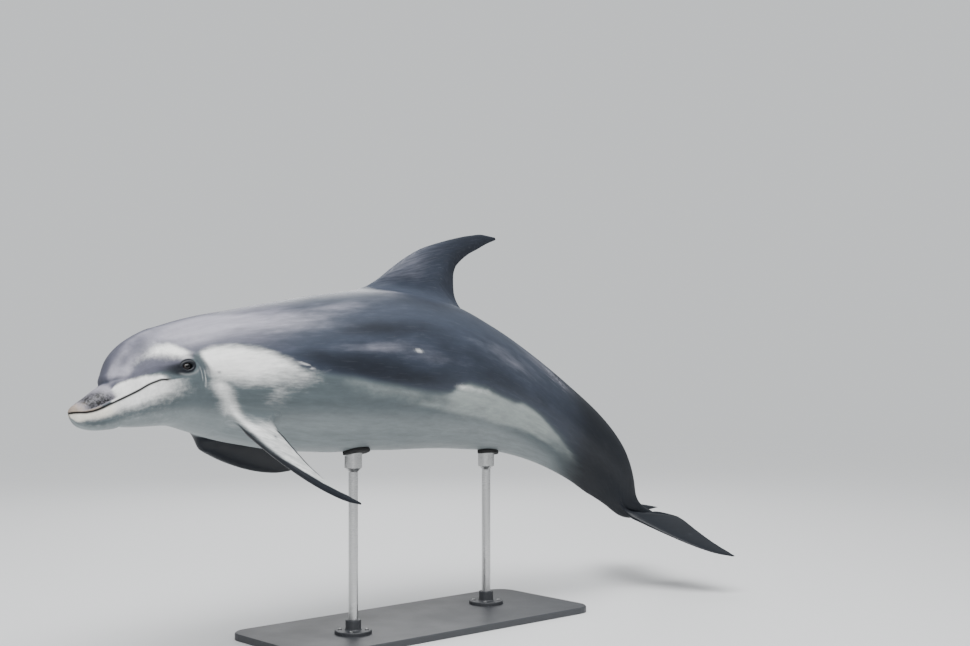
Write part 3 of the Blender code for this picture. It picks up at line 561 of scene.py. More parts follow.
def fold_line(fold, side):
    """Where a fold behind the eye runs at each angle, and how much of it there is."""
    behind, _, first, last = fold
    lean = np.where(side < 86, 0.00006, 0.00002) * (side - 86) ** 2
    length = step(first, first + 7, side) * (1 - step(last - 8, last, side))
    return EYE_AT[0] + behind - lean, length * (0.75 + 0.25 * np.cos(side * 0.7 + behind * 900))


def crease_line(side):
    """Where the crease between beak and melon runs at each angle."""
    return monotone(CREASE_LINE, np.clip(side, 0, CREASE_LINE[-1][0]))


def relief(s, a, arc, lip_groove, crease_deep):
    """Height above the plain skin; arc is metres below the mouth line."""
    side = np.abs(a)
    lips = 0.0007 * bump(arc, 0.0042, 0.0026) + 0.0005 * bump(arc, -0.0040, 0.0026)
    h = (lips - lip_groove * bump(arc, 0, 0.0011)) * (1 - step(GAPE - 0.004, GAPE + 0.004, s))
    h -= 0.0016 * bump(s, GAPE + 0.001, 0.0045) * bump(arc, 0.0, 0.0035)
    crease = crease_line(side)
    h -= crease_deep * bump(s, crease, 0.0032) * (1 - step(56, 76, side))
    h += 0.0012 * bump(s, crease + 0.0075, 0.0050) * (1 - step(50, 70, side))
    # the brow, the eye, and the folds behind it
    h += 0.0016 * bump(s, 0.285, 0.034) * bump(side, 65, 6)
    h += eye_relief(s, a)
    for fold in FOLDS:
        line, share = fold_line(fold, side)
        h -= fold[1] * share * (bump(s, line, 0.0019) - 0.6 * bump(s, line + 0.0038, 0.0022))
    for at, deep in NECK_CREASES:
        h -= deep * bump(s, at + 0.010 * np.cos(np.radians(side * 2)), 0.0060) * step(84, 108, side)
    # blowhole: a crescent with its horns forward, in a low mound
    across = np.radians(side) * 0.13
    lip = 0.2860 - 0.0085 * (across / 0.015) ** 2
    h += 0.0016 * bump(s, 0.286, 0.016) * bump(across, 0, 0.024)
    h -= 0.0042 * bump(s, lip, 0.0019) * (1 - step(0.0125, 0.0165, across))
    return h - 0.0008 * bump(s, EAR_AT, 0.0040) * bump(side, 90, 1.6)


def eye_distance(s, a):
    """How far a point lies from the eye, 1 at the lids' margin, and its metres along and up from it."""
    along, up = s - EYE_AT[0], profile(s, a)[1] - EYE_AT[2]
    return np.hypot(along / LID[0], (up + 0.0012 * along / LID[0]) / LID[1]), along, up


def eye_relief(s, a):
    """Swollen lid margins, folds over and under them, and the grooves at the eye's corners."""
    r, along, up = eye_distance(s, a)
    tilt = np.arctan2(up, along)                       # 0 behind the eye, a quarter turn above it
    over = bump(tilt, 1.25, 1.15)
    under = bump(tilt, -1.9, 0.95)
    h = 0.0008 * bump(r, 1.16, 0.20)
    h -= 0.0010 * bump(r, 1.52 + 0.10 * np.cos(tilt), 0.13) * over + 0.0006 * bump(r, 1.55, 0.13) * under
    h += 0.0005 * bump(r, 1.95, 0.26) * over + 0.0002 * bump(r, 1.95, 0.24) * under
    h -= 0.0005 * bump(r, 2.55 - 0.15 * np.cos(tilt), 0.13) * bump(tilt, 0.9, 0.7)
    h += 0.0014 * bump(r, 3.1, 0.5) * over
    h -= 0.0013 * bump(up + 0.40 * (along + 0.016), -0.0015, 0.0015) * bump(along, -0.024, 0.007)
    h -= 0.0010 * bump(up - 0.25 * (along - 0.015), -0.0010, 0.0014) * bump(along, 0.022, 0.005)
    return h


# ---- markings, painted shade and painted highlights: masks from 0 to 1 over the straight body ------
# Their edges, as degrees round from the back at distances from the beak's tip
CAPE_EDGE = (
    (0.00, 50), (0.095, 52), (0.112, 58), (0.13, 62), (0.15, 69), (0.18, 76), (0.22, 80), (0.26, 80),
    (0.30, 76), (0.33, 67), (0.42, 66), (0.50, 74), (0.56, 82), (0.62, 90), (0.70, 93), (0.80, 95),
    (0.90, 99), (1.00, 102), (1.10, 104), (1.17, 103), (1.22, 97), (1.27, 94), (1.36, 95), (1.46, 97),
    (1.54, 97), (1.60, 94), (1.68, 95), (1.78, 100), (1.88, 107), (1.99, 116), (2.10, 127), (2.20, 155),
    (2.50, 180),
)
BROW_MID = ((0.13, 66), (0.17, 62), (0.21, 57), (0.245, 55.5), (0.275, 60), (0.30, 66.5), (0.33, 73))
BROW_HALF = ((0.13, 4.0), (0.18, 7.0), (0.24, 10.5), (0.28, 10.0), (0.31, 7.0), (0.34, 5.0))
STRIPE_MID = ((0.150, 67), (0.19, 73.5), (0.23, 78.5), (0.262, 81), (0.29, 81.5), (0.32, 81))
STRIPE_HALF = ((0.150, 1.5), (0.19, 3.0), (0.23, 5.2), (0.262, 7.0), (0.30, 6.5), (0.32, 3.0))
SHOULDER_LOW = ((0.30, 88), (0.36, 98), (0.46, 101), (0.56, 103), (0.64, 103), (0.76, 99))
SHOULDER_HIGH = (
    (0.30, 74), (0.34, 69), (0.38, 67), (0.44, 69), (0.50, 74), (0.56, 82), (0.62, 90), (0.70, 96),
)
CHEEK_EDGE = ((0.09, 50), (0.115, 57), (0.145, 68), (0.17, 75), (0.21, 84), (0.25, 88))
BAND_LOW = ((0.7, 106), (1.03, 116), (1.25, 120), (1.5, 123), (1.7, 121), (1.88, 126), (2.0, 138))
BELLY_EDGE = ((0, 150), (0.12, 136), (0.4, 130), (0.7, 124), (1.1, 126), (1.5, 122), (1.9, 140), (2.2, 178))
SCRATCH = ((0.585, 86.6), (0.600, 87.5), (0.622, 88.8), (0.636, 92.0), (0.645, 94.0))
# The flipper's painted shade along its fore edge, as a share of its chord at shares of its span
FLIPPER_EDGE = (
    (0.0, 0.01), (0.30, 0.02), (0.45, 0.05), (0.60, 0.16), (0.74, 0.36), (0.86, 0.75), (0.92, 1.1),
)
# Patches: (along, round, half length, half width, strength)
SHADE_PATCHES = (            # the cape's dark places
    (0.80, 86, 0.18, 10, 0.85), (1.02, 95, 0.18, 8, 0.75), (0.98, 60, 0.20, 8, 0.62),
    (1.16, 34, 0.22, 12, 0.50), (1.42, 86, 0.24, 9, 0.50), (1.22, 72, 0.26, 9, 0.40),
    (0.66, 80, 0.06, 6, 0.40), (1.85, 62, 0.24, 40, 0.40), (0.30, 22, 0.05, 14, 0.15),
    # the patch at (0.150, 2) is painted shade: a dark rim along the melon's crown
    (0.150, 2, 0.05, 16, 0.40), (0.218, 37, 0.034, 8, 0.35), (0.84, 60, 0.10, 6, 0.35),
    # painted shade along the back's ridge ahead of the dorsal fin, where the light from above falls
    (0.80, 4, 0.16, 14, 0.45),
)
LIGHT_PATCHES = (            # lighter washes over the cape, melon, nape and tail ridge
    # the washes at (0.42, 38) and (0.37, 32) on the nape, and those on the melon, are partly the crown's
    # paler grey and partly painted light from above
    (0.42, 38, 0.17, 13, 0.85), (0.62, 50, 0.17, 12, 0.50), (0.90, 74, 0.17, 5.5, 0.40),
    (0.84, 38, 0.18, 9, 0.35), (1.12, 81, 0.12, 4.5, 0.30), (1.50, 62, 0.22, 13, 0.30),
    # the wash at (1.75, 36) on the tail stock's upper side is a painted rim highlight
    (1.75, 36, 0.20, 10, 0.45), (0.24, 18, 0.07, 9, 0.45), (1.06, 20, 0.10, 10, 0.35),
    (0.134, 38, 0.020, 17, 0.95), (0.156, 58, 0.018, 9, 0.85), (0.172, 32, 0.025, 10, 0.50),
    (0.190, 50, 0.030, 7, 0.45), (0.34, 56, 0.08, 6, 0.35), (0.37, 32, 0.10, 20, 0.80),
    # a painted rim highlight along the tail stock's top ridge
    (1.88, 0, 0.24, 5, 0.75),
)
NOTCH_PATCHES = ((1.235, 98.5, 0.040, 2.5, 0.50), (1.33, 98.5, 0.09, 2.5, 0.35))     # under the cape's notch
RAKES_PATCH = (1.79, 32, 0.085, 14, 1.3)


def patch(s, side, spot):
    """A soft oval at (along, round), with its half sizes and strength."""
    at, round_, half_s, half_a, strength = spot
    return strength * np.exp(-1.1 * (((s - at) / half_s) ** 2 + ((side - round_) / half_a) ** 2))


def along(table, s):
    """A listed edge read at each point's distance from the beak."""
    at, value = np.array(table).T
    return np.interp(s, at, value)


def white_marks(s, side, wedge):
    """Brow, shoulder patch, jaw, cheek, the streaks down to the flipper, and light under the cape's notch;
    the jaw's white gives way to painted shade on its underside.
    """
    brow_mid = along(BROW_MID, s)
    brow = 0.92 * step(0.165, 0.285, s) * (1 - step(0.285, 0.345, s))
    brow *= np.exp(-((side - brow_mid) / along(BROW_HALF, s)) ** 2)
    ahead = 0.20 * step(0.120, 0.19, s) * (1 - step(0.24, 0.29, s)) * bump(side, brow_mid - 2, 9.0)
    shoulder = step(0.315, 0.350, s) * (1 - 0.75 * step(0.40, 0.74, s)) * (1 - step(0.62, 0.78, s))
    shoulder *= step(-8, 7, side - along(SHOULDER_HIGH, s))
    shoulder *= 1 - step(-16, 12, side - along(SHOULDER_LOW, s))
    chin = 0.90 * step(89.0, 91.5, side) * (1 - step(0.18, 0.33, s))
    # painted shade: the jaw's white greys off over its underside
    chin *= 1 - 0.85 * step(94, 130, side - jaw_tip(s))
    cheek = step(0.090, 0.106, s) * (1 - step(0.21, 0.26, s))
    cheek *= step(-5, 5, side - along(CHEEK_EDGE, s)) * (side < 90.5)
    low = step(84, 104, side)
    streak = 0.62 * bump(s - 0.0009 * (side - 110), 0.372, 0.030) * low * (1 - step(128, 160, side))
    streak += 0.35 * bump(s + 0.0011 * (side - 110), 0.53, 0.045) * low * (1 - step(106, 136, side))
    streak += 0.5 * bump(s, 0.200, 0.03) * bump(side, 96, 6)
    notch = sum(patch(s, side, spot) for spot in NOTCH_PATCHES)
    white = np.clip(np.maximum.reduce([brow, ahead, shoulder, chin, cheek, streak, notch]), 0, 1)
    return white * (1 - 0.55 * wedge)


def jaw_tip(s):
    """Degrees by which the jaw's pale sides reach further down at its tip, before the painted shade under the
    jaw.
    """
    return 26 * (1 - step(0.0, 0.035, s))


def pale_and_lit_flank(s, side, edge):
    """The flank, palest just under the cape, and most of all behind the cape's notch over the rear rod:
    partly its own paler grey, partly painted light from above.
    """
    low = along(BAND_LOW, s)
    pale = step(-2, 5, side - edge) * (1 - step(-16, 12, side - low))
    pale *= step(0.66, 0.80, s) * (1 - step(1.95, 2.12, s))
    pale *= 0.45 + 0.45 * step(1.14, 1.24, s) * (1 - step(1.7, 2.0, s))
    pale += 0.25 * bump(side - low, -2, 3.0) * step(0.95, 1.10, s) * (1 - step(1.75, 1.95, s))
    return np.clip(pale, 0, 1)


def fold_shading_and_scar_lines(s, side):
    """Thin lines, dark above 0 and pale below it: painted shade in the melon's crease, the folds behind the
    eye and the ear, painted highlight on the folds' ridges and over the ear, a healed scratch, and a painted
    glint.
    """
    # painted shade along the crease between beak and melon
    folds = 0.70 * bump(s, crease_line(side), 0.0030) * (1 - step(50, 66, side))
    for fold in FOLDS:
        line, share = fold_line(fold, side)
        # painted shade in each fold behind the eye, and painted highlight on the ridge behind the first two
        folds += 0.55 * share * bump(s, line, 0.0022) * (1 - step(88, 102, side))
        folds -= 0.50 * share * (fold[0] < 0.035) * bump(s, line + 0.0042, 0.0021) * step(82, 90, side)
    # painted shade in the ear's pit, and a painted highlight just above it
    folds += 0.8 * bump(s, EAR_AT, 0.0050) * bump(side, 90, 1.5)
    folds -= 0.8 * bump(s, EAR_AT - 0.0005, 0.0050) * bump(side, 87.6, 1.0)
    scratch = along(SCRATCH, s)
    length = step(0.588, 0.598, s) * (1 - step(0.628, 0.642, s))
    folds += length * (0.9 * bump(side, scratch, 0.7) - 0.62 * bump(side, scratch - 1.7, 0.7))
    # the last term is a painted glint, a small pale fleck on the cape
    return folds - 0.7 * bump(s + 0.002 * (side - 75.8), 1.032, 0.011) * bump(side, 75.8, 0.6)


def body_marks(s, a, arc):
    """Each mask of the body, by name; arc is metres below the mouth."""
    side = np.abs(a)
    edge = monotone(CAPE_EDGE, np.clip(s, 0, LENGTH))
    soft = 4.5 + 7 * step(0.30, 0.36, s) * (1 - step(0.52, 0.62, s)) + 8 * step(1.6, 1.9, s)
    cape = 1 - step(-1, 1, (side - edge) / soft)
    # a grey wedge behind the eye parts the brow from the shoulder
    wedge = bump(s - 0.0012 * (side - 80), 0.331, 0.016) * step(62, 72, side) * (1 - step(84, 98, side))
    # the dark stripe from under the melon to the eye, and the eye's own dark ring
    stripe = np.exp(-((side - along(STRIPE_MID, s)) / along(STRIPE_HALF, s)) ** 4)
    stripe *= step(0.15, 0.20, s) * (1 - step(0.300, 0.312, s)) * (0.30 + 0.60 * step(0.21, 0.28, s))
    distance, ahead, up = eye_distance(s, a)
    round_eye = np.hypot(ahead / (0.0190 + 0.0030 * (ahead < 0)), (up - 0.0010) / 0.0165)
    near_eye = (s > 0.2) & (s < 0.4)
    ring = (1 - step(0.92, 1.30, round_eye)) * near_eye
    # beak: grey back, dark patch with a faint one on the jaw, tan lip and cream jaw tip
    beak = 1 - step(0.090, 0.112, s - 0.0003 * np.clip(side, 0, 40))
    beak *= step(0.010, 0.022, s) * (1 - step(82, 88, side))
    core = step(0.010, 0.044, s - 0.0001 * side) * (1 - step(-0.034, 0.026, s - 0.066 - 0.00058 * side))
    core *= (0.75 + 0.25 * step(10, 60, side)) * (1 - step(80, 87, side))
    tan = 0.78 * (1 - step(0.004, 0.050, s - 0.00010 * side)) * (side < 92)
    lip = 0.7 * (1 - step(0.05, 0.09, s)) * step(80, 86, side) * (side < 92)
    line = np.clip(1.9 * bump(arc, 0.0004, 0.0027), 0, 1) * (1 - step(GAPE - 0.006, GAPE + 0.010, s))
    return {
        "cape": cape,
        "dark": np.clip(sum(patch(s, side, spot) for spot in SHADE_PATCHES), 0, 1) * cape,
        "light": np.clip(sum(patch(s, side, spot) for spot in LIGHT_PATCHES), 0, 1),
        "mauve": cape * (1 - step(0.46, 0.86, s + 0.0035 * np.maximum(side - 30, 0))),
        "white": white_marks(s, side, wedge),
        "pale": pale_and_lit_flank(s, side, edge),
        "stripe": np.clip(np.maximum.reduce([stripe, ring, 0.34 * wedge]), 0, 1),
        # painted highlight: a pale crescent under the lower lid
        "lid": 0.1225 * bump(distance, 2.1, 0.25) * (1 - step(-0.014, -0.008, up)) * near_eye,
        "beak": beak,
        "core": np.maximum(core, 0.26 * bump(s, 0.085, 0.05) * bump(side, 106, 9)),
        "tan": np.maximum(tan, lip),
        # the cream greys off over the jaw's underside: painted shade
        "cream": (1 - step(0.05, 0.15, s)) * step(89.5, 92, side) * (1 - step(100, 128, side - jaw_tip(s))),
        "line": 0.95 * line,
        "belly": step(-12, 14, side - along(BELLY_EDGE, s)) * (1 - step(1.85, 2.15, s)),
        "tail": step(1.72, 2.16, s - 0.0012 * (side - 90)),
        "folds": fold_shading_and_scar_lines(s, side),
        "rakes": np.clip(patch(s, side, RAKES_PATCH) + 0.04 * cape, 0, 1),
    }


def fin_marks(a, part, v, x):
    """Each mask of the fins' own, by name; the others are bare there."""
    under = part % 1 > 0.5
    dorsal, flipper, fluke = (np.abs(part - k) < 0.3 for k in (DORSAL_PART, FLIPPER_PART, FLUKE_PART))
    # the flipper's painted shade: along its fore edge, at its tip, over its under face and over all the far
    # (right) flipper; a dark band also runs along the trailing edge by the root
    front = 1 - step(-0.06, 0.06, x - along(FLIPPER_EDGE, v))
    back = step(0.84, 0.92, x) * step(-0.2, 0.1, v) * (1 - step(0.55, 0.75, v))
    shaded = np.where(under | (a < 0), 0.95, 0.0)
    flipper_dark = np.clip(shaded + front + back + step(0.86, 0.95, v), 0, 1)
    dorsal_dark = np.clip(0.30 + 0.45 * step(0.1, 0.9, v) + 0.35 * step(0.5, 1.0, x), 0, 1)
    return {
        "cape": dorsal | fluke,
        "dark": dorsal * dorsal_dark + fluke * 0.8,
        "light": dorsal * 0.30 * (1 - step(0.2, 0.8, v)) * (1 - step(0.1, 0.8, x)),
        "mauve": dorsal * 0.20,
        # the flipper's pale upper face, partly painted light from above
        "white": flipper * 0.55 * (1 - flipper_dark),
        # slate over the flukes, and over the flipper's painted shade
        "tail": fluke + flipper * flipper_dark,
        "rakes": dorsal * 0.12,
        "folds": flipper * ~under * (a > 0) * bump(v, 0.20, 0.012) * bump(x, 0.52, 0.07),
    }


def markings(s, a, arc, part, v, x):
    """Each mask of the skin, by name: the body's marks give way to the fins' own over their roots."""
    flipper = np.abs(part - FLIPPER_PART) < 0.3
    rise = np.where(part < 0.5, 0, step(-0.85, 0.05, v))
    # the right flipper, the far one, is in painted shade from its root
    rise = np.where(flipper & (a < 0), step(-1.0, -0.55, v), rise)
    body, own = body_marks(s, a, arc), fin_marks(a, part, v, x)
    return {name: mask * (1 - rise) + own.get(name, 0.0) * rise for name, mask in body.items()}


# ---- building the skin -----------------------------------------------------------------------------
FAIR_REACH = (0.045, 9.0)        # how far fairing spreads from a fin's root: metres along, degrees round
FAIR_TIMES = 60
LID_EDGE_LIFT = 0.0016
ROUND_METRES = 0.20              # metres per radian round the body, in the patterns' coordinates
BEAK_TIP_ANGLE = 97.0            # so that the tip takes the lower jaw's cream


def neighbours(count, faces):
    """Edges of the mesh as pairs, and each point's number of neighbours."""
    pairs = np.concatenate([faces[:, [k, (k + 1) % 4]] for k in range(4)])
    pairs = pairs[pairs[:, 0] != pairs[:, 1]]
    pairs = np.unique(np.sort(pairs, 1), axis=0)
    return pairs, np.maximum(np.bincount(pairs.ravel(), minlength=count), 1)


def smoothed(points, pairs, degree, weight):
    """Points drawn towards their neighbours' mean, again and again, by each point's weight."""
    for _ in range(FAIR_TIMES):
        total = np.zeros_like(points)
        for k in range(3):
            total[:, k] = np.bincount(pairs[:, 0], points[pairs[:, 1], k], len(points))
            total[:, k] += np.bincount(pairs[:, 1], points[pairs[:, 0], k], len(points))
        points = points + (total / degree[:, None] - points) * weight[:, None]
    return points


def normals(points, faces):
    corner = points[faces]
    n = np.cross(corner[:, 2] - corner[:, 0], corner[:, 3] - corner[:, 1])
    total = np.zeros_like(points)
    for c in range(4):
        for k in range(3):
            total[:, k] += np.bincount(faces[:, c], n[:, k], len(points))
    return unit(total)


def lay_out_skin():
    """The whole skin as points, quads, map corners and the straight coordinates of each point."""
    mesh = Mesh()
    s_grid, a_grid = np.meshgrid(ROWS, COLS, indexing="ij")
    ids = mesh.add(on_skin(s_grid, a_grid).reshape(-1, 3), s_grid.ravel(), a_grid.ravel())
    ids = ids.reshape(s_grid.shape)
    holes = [add_fin(mesh, ids, fin) for fin in FINS]
    holes += [add_eye_patch(mesh, ids, side, island) for side, island in EYE_ISLANDS]
    whole = np.ones((len(ROWS) - 1, RING), bool)
    for rows, cols in holes:
        whole[rows, cols] = False
    # the map gives the head more room than its length, and is cut along the belly
    pace = np.cumsum(np.concatenate([[0], np.diff(ROWS) * np.where(ROWS[1:] < 0.42, 2.4, 1.0)]))
    along_map = 0.01 + 0.98 * pace / pace[-1]
    half = len(HALF_COLS)
    order = np.concatenate([np.arange(half - 1, RING), np.arange(half)])
    turn = np.concatenate([COLS[half - 1:] % 360, COLS[:half] + 360])
    across = 0.01 + 0.63 * (turn - 180) / 360
    grid = ids[:, order]
    mesh.quads(grid, along_map[:, None], across[None, :], whole[:, order[:-1]])
    for row, (s, z), u, a in ((0, BEAK_TIP, 0.004, BEAK_TIP_ANGLE), (-1, NOTCH_TIP, 0.996, 90.0)):
        pole = mesh.add(SPINE_LINE.place(np.array([s]), 0.0, z), s, a)
        tip, base = (np.full(RING + 1, pole[0]), u), (grid[row], along_map[row])
        rings, places = zip(*((tip, base) if row == 0 else (base, tip)))
        mesh.quads(np.array(rings), np.array(places)[:, None], across[None, :])
    return mesh


def fair_weights(s, a, part, v, x):
    """How strongly each point is faired: fully in the blends at the fins' roots, not at all at the eyes."""
    near = np.zeros(len(s))
    for fin in FINS:
        coarse, (lo, hi) = fin[2], sorted(fin[3])
        ds = np.maximum(np.maximum(coarse[0] - s, s - coarse[-1]), 0) / FAIR_REACH[0]
        da = np.maximum(np.maximum(lo - a, a - hi), 0) / FAIR_REACH[1]
        near = np.maximum(near, np.where(part < 0.5, 1 - step(0, 1, np.hypot(ds, da)), 0))
    near = np.where((part > 0.5) & (v < 0.0), 1 - step(-0.6, -0.05, v), near)
    return 0.45 * np.where(x >= EYE_MARK, 0, near)


def build_skin(settings):
    mesh = lay_out_skin()
    points, faces, maps = (np.concatenate(blocks) for blocks in (mesh.points, mesh.faces, mesh.maps))
    s, a, part, v, x, out = np.concatenate(mesh.tags, 1)
    points = smoothed(points, *neighbours(len(points), faces), fair_weights(s, a, part, v, x))
    mouth_at = on_skin(s, np.where(a < 0, -90.0, 90.0))
    arc = -((points - mouth_at) * SPINE_LINE.frame(s)[3]).sum(1)
    lift = np.where(part < 0.5, relief(s, a, arc, settings.lip_groove, settings.crease), 0)
    lift = np.where(x >= LID_MARK, LID_EDGE_LIFT, lift)      # the lids' turned-in edge follows their margin
    points = points + normals(points, faces) * lift[:, None]
    marks = markings(s, a, arc, part, v, x)
    # straight coordinates in metres, along, round and by part, for the patterns that run with the body
    outward = out * np.where(np.abs(part - DORSAL_PART) < 0.3, 1.0, np.where(a < 0, -1.0, 1.0))
    straight = np.stack([s, np.radians(a) * ROUND_METRES + outward, np.round(part)], 1)
    # drop the points that the holes left unused
    used, faces = np.unique(faces, return_inverse=True)
    faces = faces.reshape(-1, 4).tolist()

    me = bpy.data.meshes.new("dolphin_skin")
    me.from_pydata(points[used].tolist(), [], [tuple(dict.fromkeys(face)) for face in faces])
    corners = [maps[i][k] for i, face in enumerate(faces) for k, q in enumerate(face) if q not in face[:k]]
    me.uv_layers.new(name="OFBake").uv.foreach_set("vector", np.array(corners, np.float32).ravel())
    for name, mask in marks.items():
        me.attributes.new(name, "FLOAT", "POINT").data.foreach_set("value", mask[used].astype(np.float32))
    layer = me.attributes.new("straight", "FLOAT_VECTOR", "POINT")
    layer.data.foreach_set("vector", straight[used].astype(np.float32).ravel())
    return show(me, skin_material(settings, list(marks)))


def show(me, material):
    """A smooth mesh as an object in the scene, with its material."""
    me.shade_smooth()
    me.materials.append(material)
    obj = bpy.data.objects.new(me.name, me)
    bpy.context.collection.objects.link(obj)
    return obj


# ---- materials -------------------------------------------------------------------------------------
def connect(tree, node, inputs):
    """Links a node's inputs to sockets, or sets them to numbers or hex colours, by name or in order."""
    for key, value in inputs.items() if isinstance(inputs, dict) else enumerate(inputs):
        if isinstance(value, bpy.types.NodeSocket):
            tree.links.new(value, node.inputs[key])
        else:
            node.inputs[key].default_value = (*to_linear(value), 1.0) if isinstance(value, str) else value


def put(tree, kind, inputs=(), out=0, **settings):
    """Adds a node, as "Kind" or "Kind.OPERATION", with its settings and links, and gives an output."""
    kind, _, operation = kind.partition(".")
    node = tree.nodes.new("ShaderNode" + kind)
    if operation:
        node.operation = operation
    for name, value in settings.items():
        setattr(node, name, value)
    connect(tree, node, inputs)
    return node.outputs[out]


def new_material(name):
    mat = bpy.data.materials.new(name)
    mat.use_nodes = True
    return mat, mat.node_tree, mat.node_tree.nodes["Principled BSDF"]


# Patterns of the paint: (stretch along and round the body, or none where they follow the real surface;
# slice, scale, detail, roughness). A scale of 22 per metre is a pattern of about 45 mm.
PATTERNS = {
    "streaks_head": (None, 0.0, 22.0, 5.0, 0.60),        # 45 mm clouds
    "streaks_body": ((3.0, 16.0), 0.0, 3.0, 5.0, 0.60),  # 20 mm streaks, drawn out five times along the body
    "fine_head": (None, 0.0, 90.0, 5.0, 0.65),           # 11 mm flecks
    "fine_body": ((10.0, 42.0), 3.0, 3.0, 4.0, 0.60),    # 8 mm flecks, drawn out four times
    "cloud": ((4.0, 6.0), 7.0, 2.2, 4.0, 0.50),          # hand-sized clouds, 110 by 75 mm
    "blotch": ((5.0, 9.0), 11.0, 2.6, 5.0, 0.60),        # 75 by 45 mm blotches
    "rakes": ((14.0, 240.0), 1.0, 1.0, 2.0, 0.40),       # 4 mm tooth rakes, coarser than real to show
    "speck": (None, 0.0, 260.0, 3.0, 0.60),              # 4 mm specks
    "grit": (None, 0.0, 170.0, 4.0, 0.55),               # 6 mm speckles of the beak's patch
    "rings": (None, 0.0, 34.0, 1.0, 0.40),               # 30 mm cells, whose contours are 20 mm loops
}
EDGE_RANGE = (0.08, 0.92)        # the part of a ragged mask that rises
HEAD_END, BODY_START = 0.20, 0.50


def skin_material(settings, names):
    """Satin enamel over a cast skin: soft sheen, painted markings with feathered, mottled edges, and painted
    shade and highlights.
    """
    mat, tree, shader = new_material("painted_dolphin_skin")
    add = partial(put, tree)
    straight = add("Attribute", out="Vector", attribute_name="straight")
    place = add("TexCoord", out="Object")

    mark = {name: add("Attribute", out="Fac", attribute_name=name) for name in names}

    def ragged(name, *breaks, strength=1.0):
        """A mark whose soft edge is broken up by each pattern, by its amount."""
        moved = mark[name]
        for pattern, amount in breaks:
            moved = add("Math.MULTIPLY_ADD", (add("Math.SUBTRACT", (pattern, 0.5)), amount, moved))
        return add("MapRange", (moved, *EDGE_RANGE, 0.0, strength), interpolation_type="SMOOTHSTEP")

    found = {}
    for name, (stretch, part, scale, detail, rough) in PATTERNS.items():
        spot = place
        if stretch:
            spot = add("Mapping", {"Vector": straight, "Scale": (*stretch, 1.0), "Location": (part, 0, 0)})
        sizes = {"Vector": spot, "Scale": scale, "Detail": detail, "Roughness": rough}
        found[name] = add("TexNoise", sizes, "Fac")
    # over the head the patterns follow the real surface, further back they run along the body
    behind = add("SeparateXYZ", (straight,))
    behind = add("MapRange", (behind, HEAD_END, BODY_START), interpolation_type="SMOOTHSTEP")
    streaks = add("Mix", {0: behind, 2: found["streaks_head"], 3: found["streaks_body"]})
    fine = add("Mix", {0: behind, 2: found["fine_head"], 3: found["fine_body"]})
    cloud, blotch = found["cloud"], found["blotch"]

    folds = add("Math.MULTIPLY", (mark["folds"], add("Math.MULTIPLY_ADD", (fine, 1.6, 0.1))))
    grit = add("Math.MULTIPLY_ADD", (fine, 0.5, add("Math.MULTIPLY", (found["grit"], 0.7))))
    mottle = add("MapRange", (grit, 0.44, 0.72, 0.62, 1.0), interpolation_type="SMOOTHSTEP")
    scratches = add("MapRange", (found["rakes"], 0.60, 0.68, 0.0, 0.60), interpolation_type="SMOOTHSTEP")
    off = add("Math.ABSOLUTE", (add("Math.SUBTRACT", (found["rings"], 0.5)),))
    loops = add("MapRange", (off, 0.008, 0.040, 0.8, 0.0), interpolation_type="SMOOTHSTEP")
    skin = settings.flank
    for paint, amount in (
        (settings.belly, mark["belly"]),
        (settings.pale, ragged("pale", (blotch, 0.50), strength=0.8)),
        (settings.cape, ragged("cape", (streaks, 0.70))),
        (settings.mauve, ragged("mauve", (streaks, 0.50))),
        (settings.cape_dark, ragged("dark", (cloud, 0.45), strength=0.85)),
        (settings.wash, ragged("light", (streaks, 0.50), strength=0.62)),
        (settings.slate, ragged("tail", (streaks, 0.50))),
        (settings.white, ragged("white", (blotch, 0.50), (fine, 0.35))),
        (settings.slate, ragged("stripe", (fine, 0.20))),
        # the painted highlight under the lower lid
        (settings.white, mark["lid"]),
        # the fold lines: painted shade where above 0 and painted highlight where below, besides the healed
        # scratch's own dark and pale
        (settings.cape, folds),                                     # dark where it is above 0
        (settings.white, add("Math.MULTIPLY", (folds, -1.2))),      # and pale where below
        (settings.beak, ragged("beak", (streaks, 0.50))),
        (settings.line, add("Math.MULTIPLY", (ragged("core", (grit, 0.42)), mottle))),
        (settings.tan, ragged("tan", (fine, 0.70), strength=0.8)),
        (settings.cream, ragged("cream", (streaks, 0.40), strength=0.7)),
        (settings.line, mark["line"]),
        (settings.wash, add("Math.MULTIPLY", (scratches, mark["rakes"]))),
        (settings.slate, add("Math.MULTIPLY", (loops, add("Math.MULTIPLY", (mark["rakes"], mark["rakes"]))))),
    ):
        skin = add("Mix", {0: amount, 6: skin, 7: paint}, 2, data_type="RGBA")
    # overall mottling: a tenth lighter and darker
    broad = add("MapRange", (streaks, 0.3, 0.7, 0.86, 1.12))
    small = add("MapRange", (fine, 0.3, 0.7, 0.93, 1.07))
    height = add("Math.MULTIPLY_ADD", (found["speck"], 0.4, fine))
    connect(tree, shader, {
        "Base Color": add("VectorMath.SCALE", {0: skin, "Scale": add("Math.MULTIPLY", (broad, small))}),
        "Roughness": add("MapRange", (cloud, 0.0, 1.0, 0.38, 0.54)),
        "Normal": add("Bump", {"Strength": 0.25, "Distance": 0.0006, "Height": height}),
        "IOR": 1.46, "Specular IOR Level": 0.32, "Coat Weight": 0.04, "Coat Roughness": 0.25,
    })
    return mat


IRIS = (            # colour out from the pole, as a share of a quarter turn
    (0.0, "#050506"), (0.34, "#060607"), (0.44, "#1f1713"), (0.58, "#1a1310"), (0.68, "#100d0c"),
    (0.80, "#1c1817"), (1.0, "#2a2524"),
)


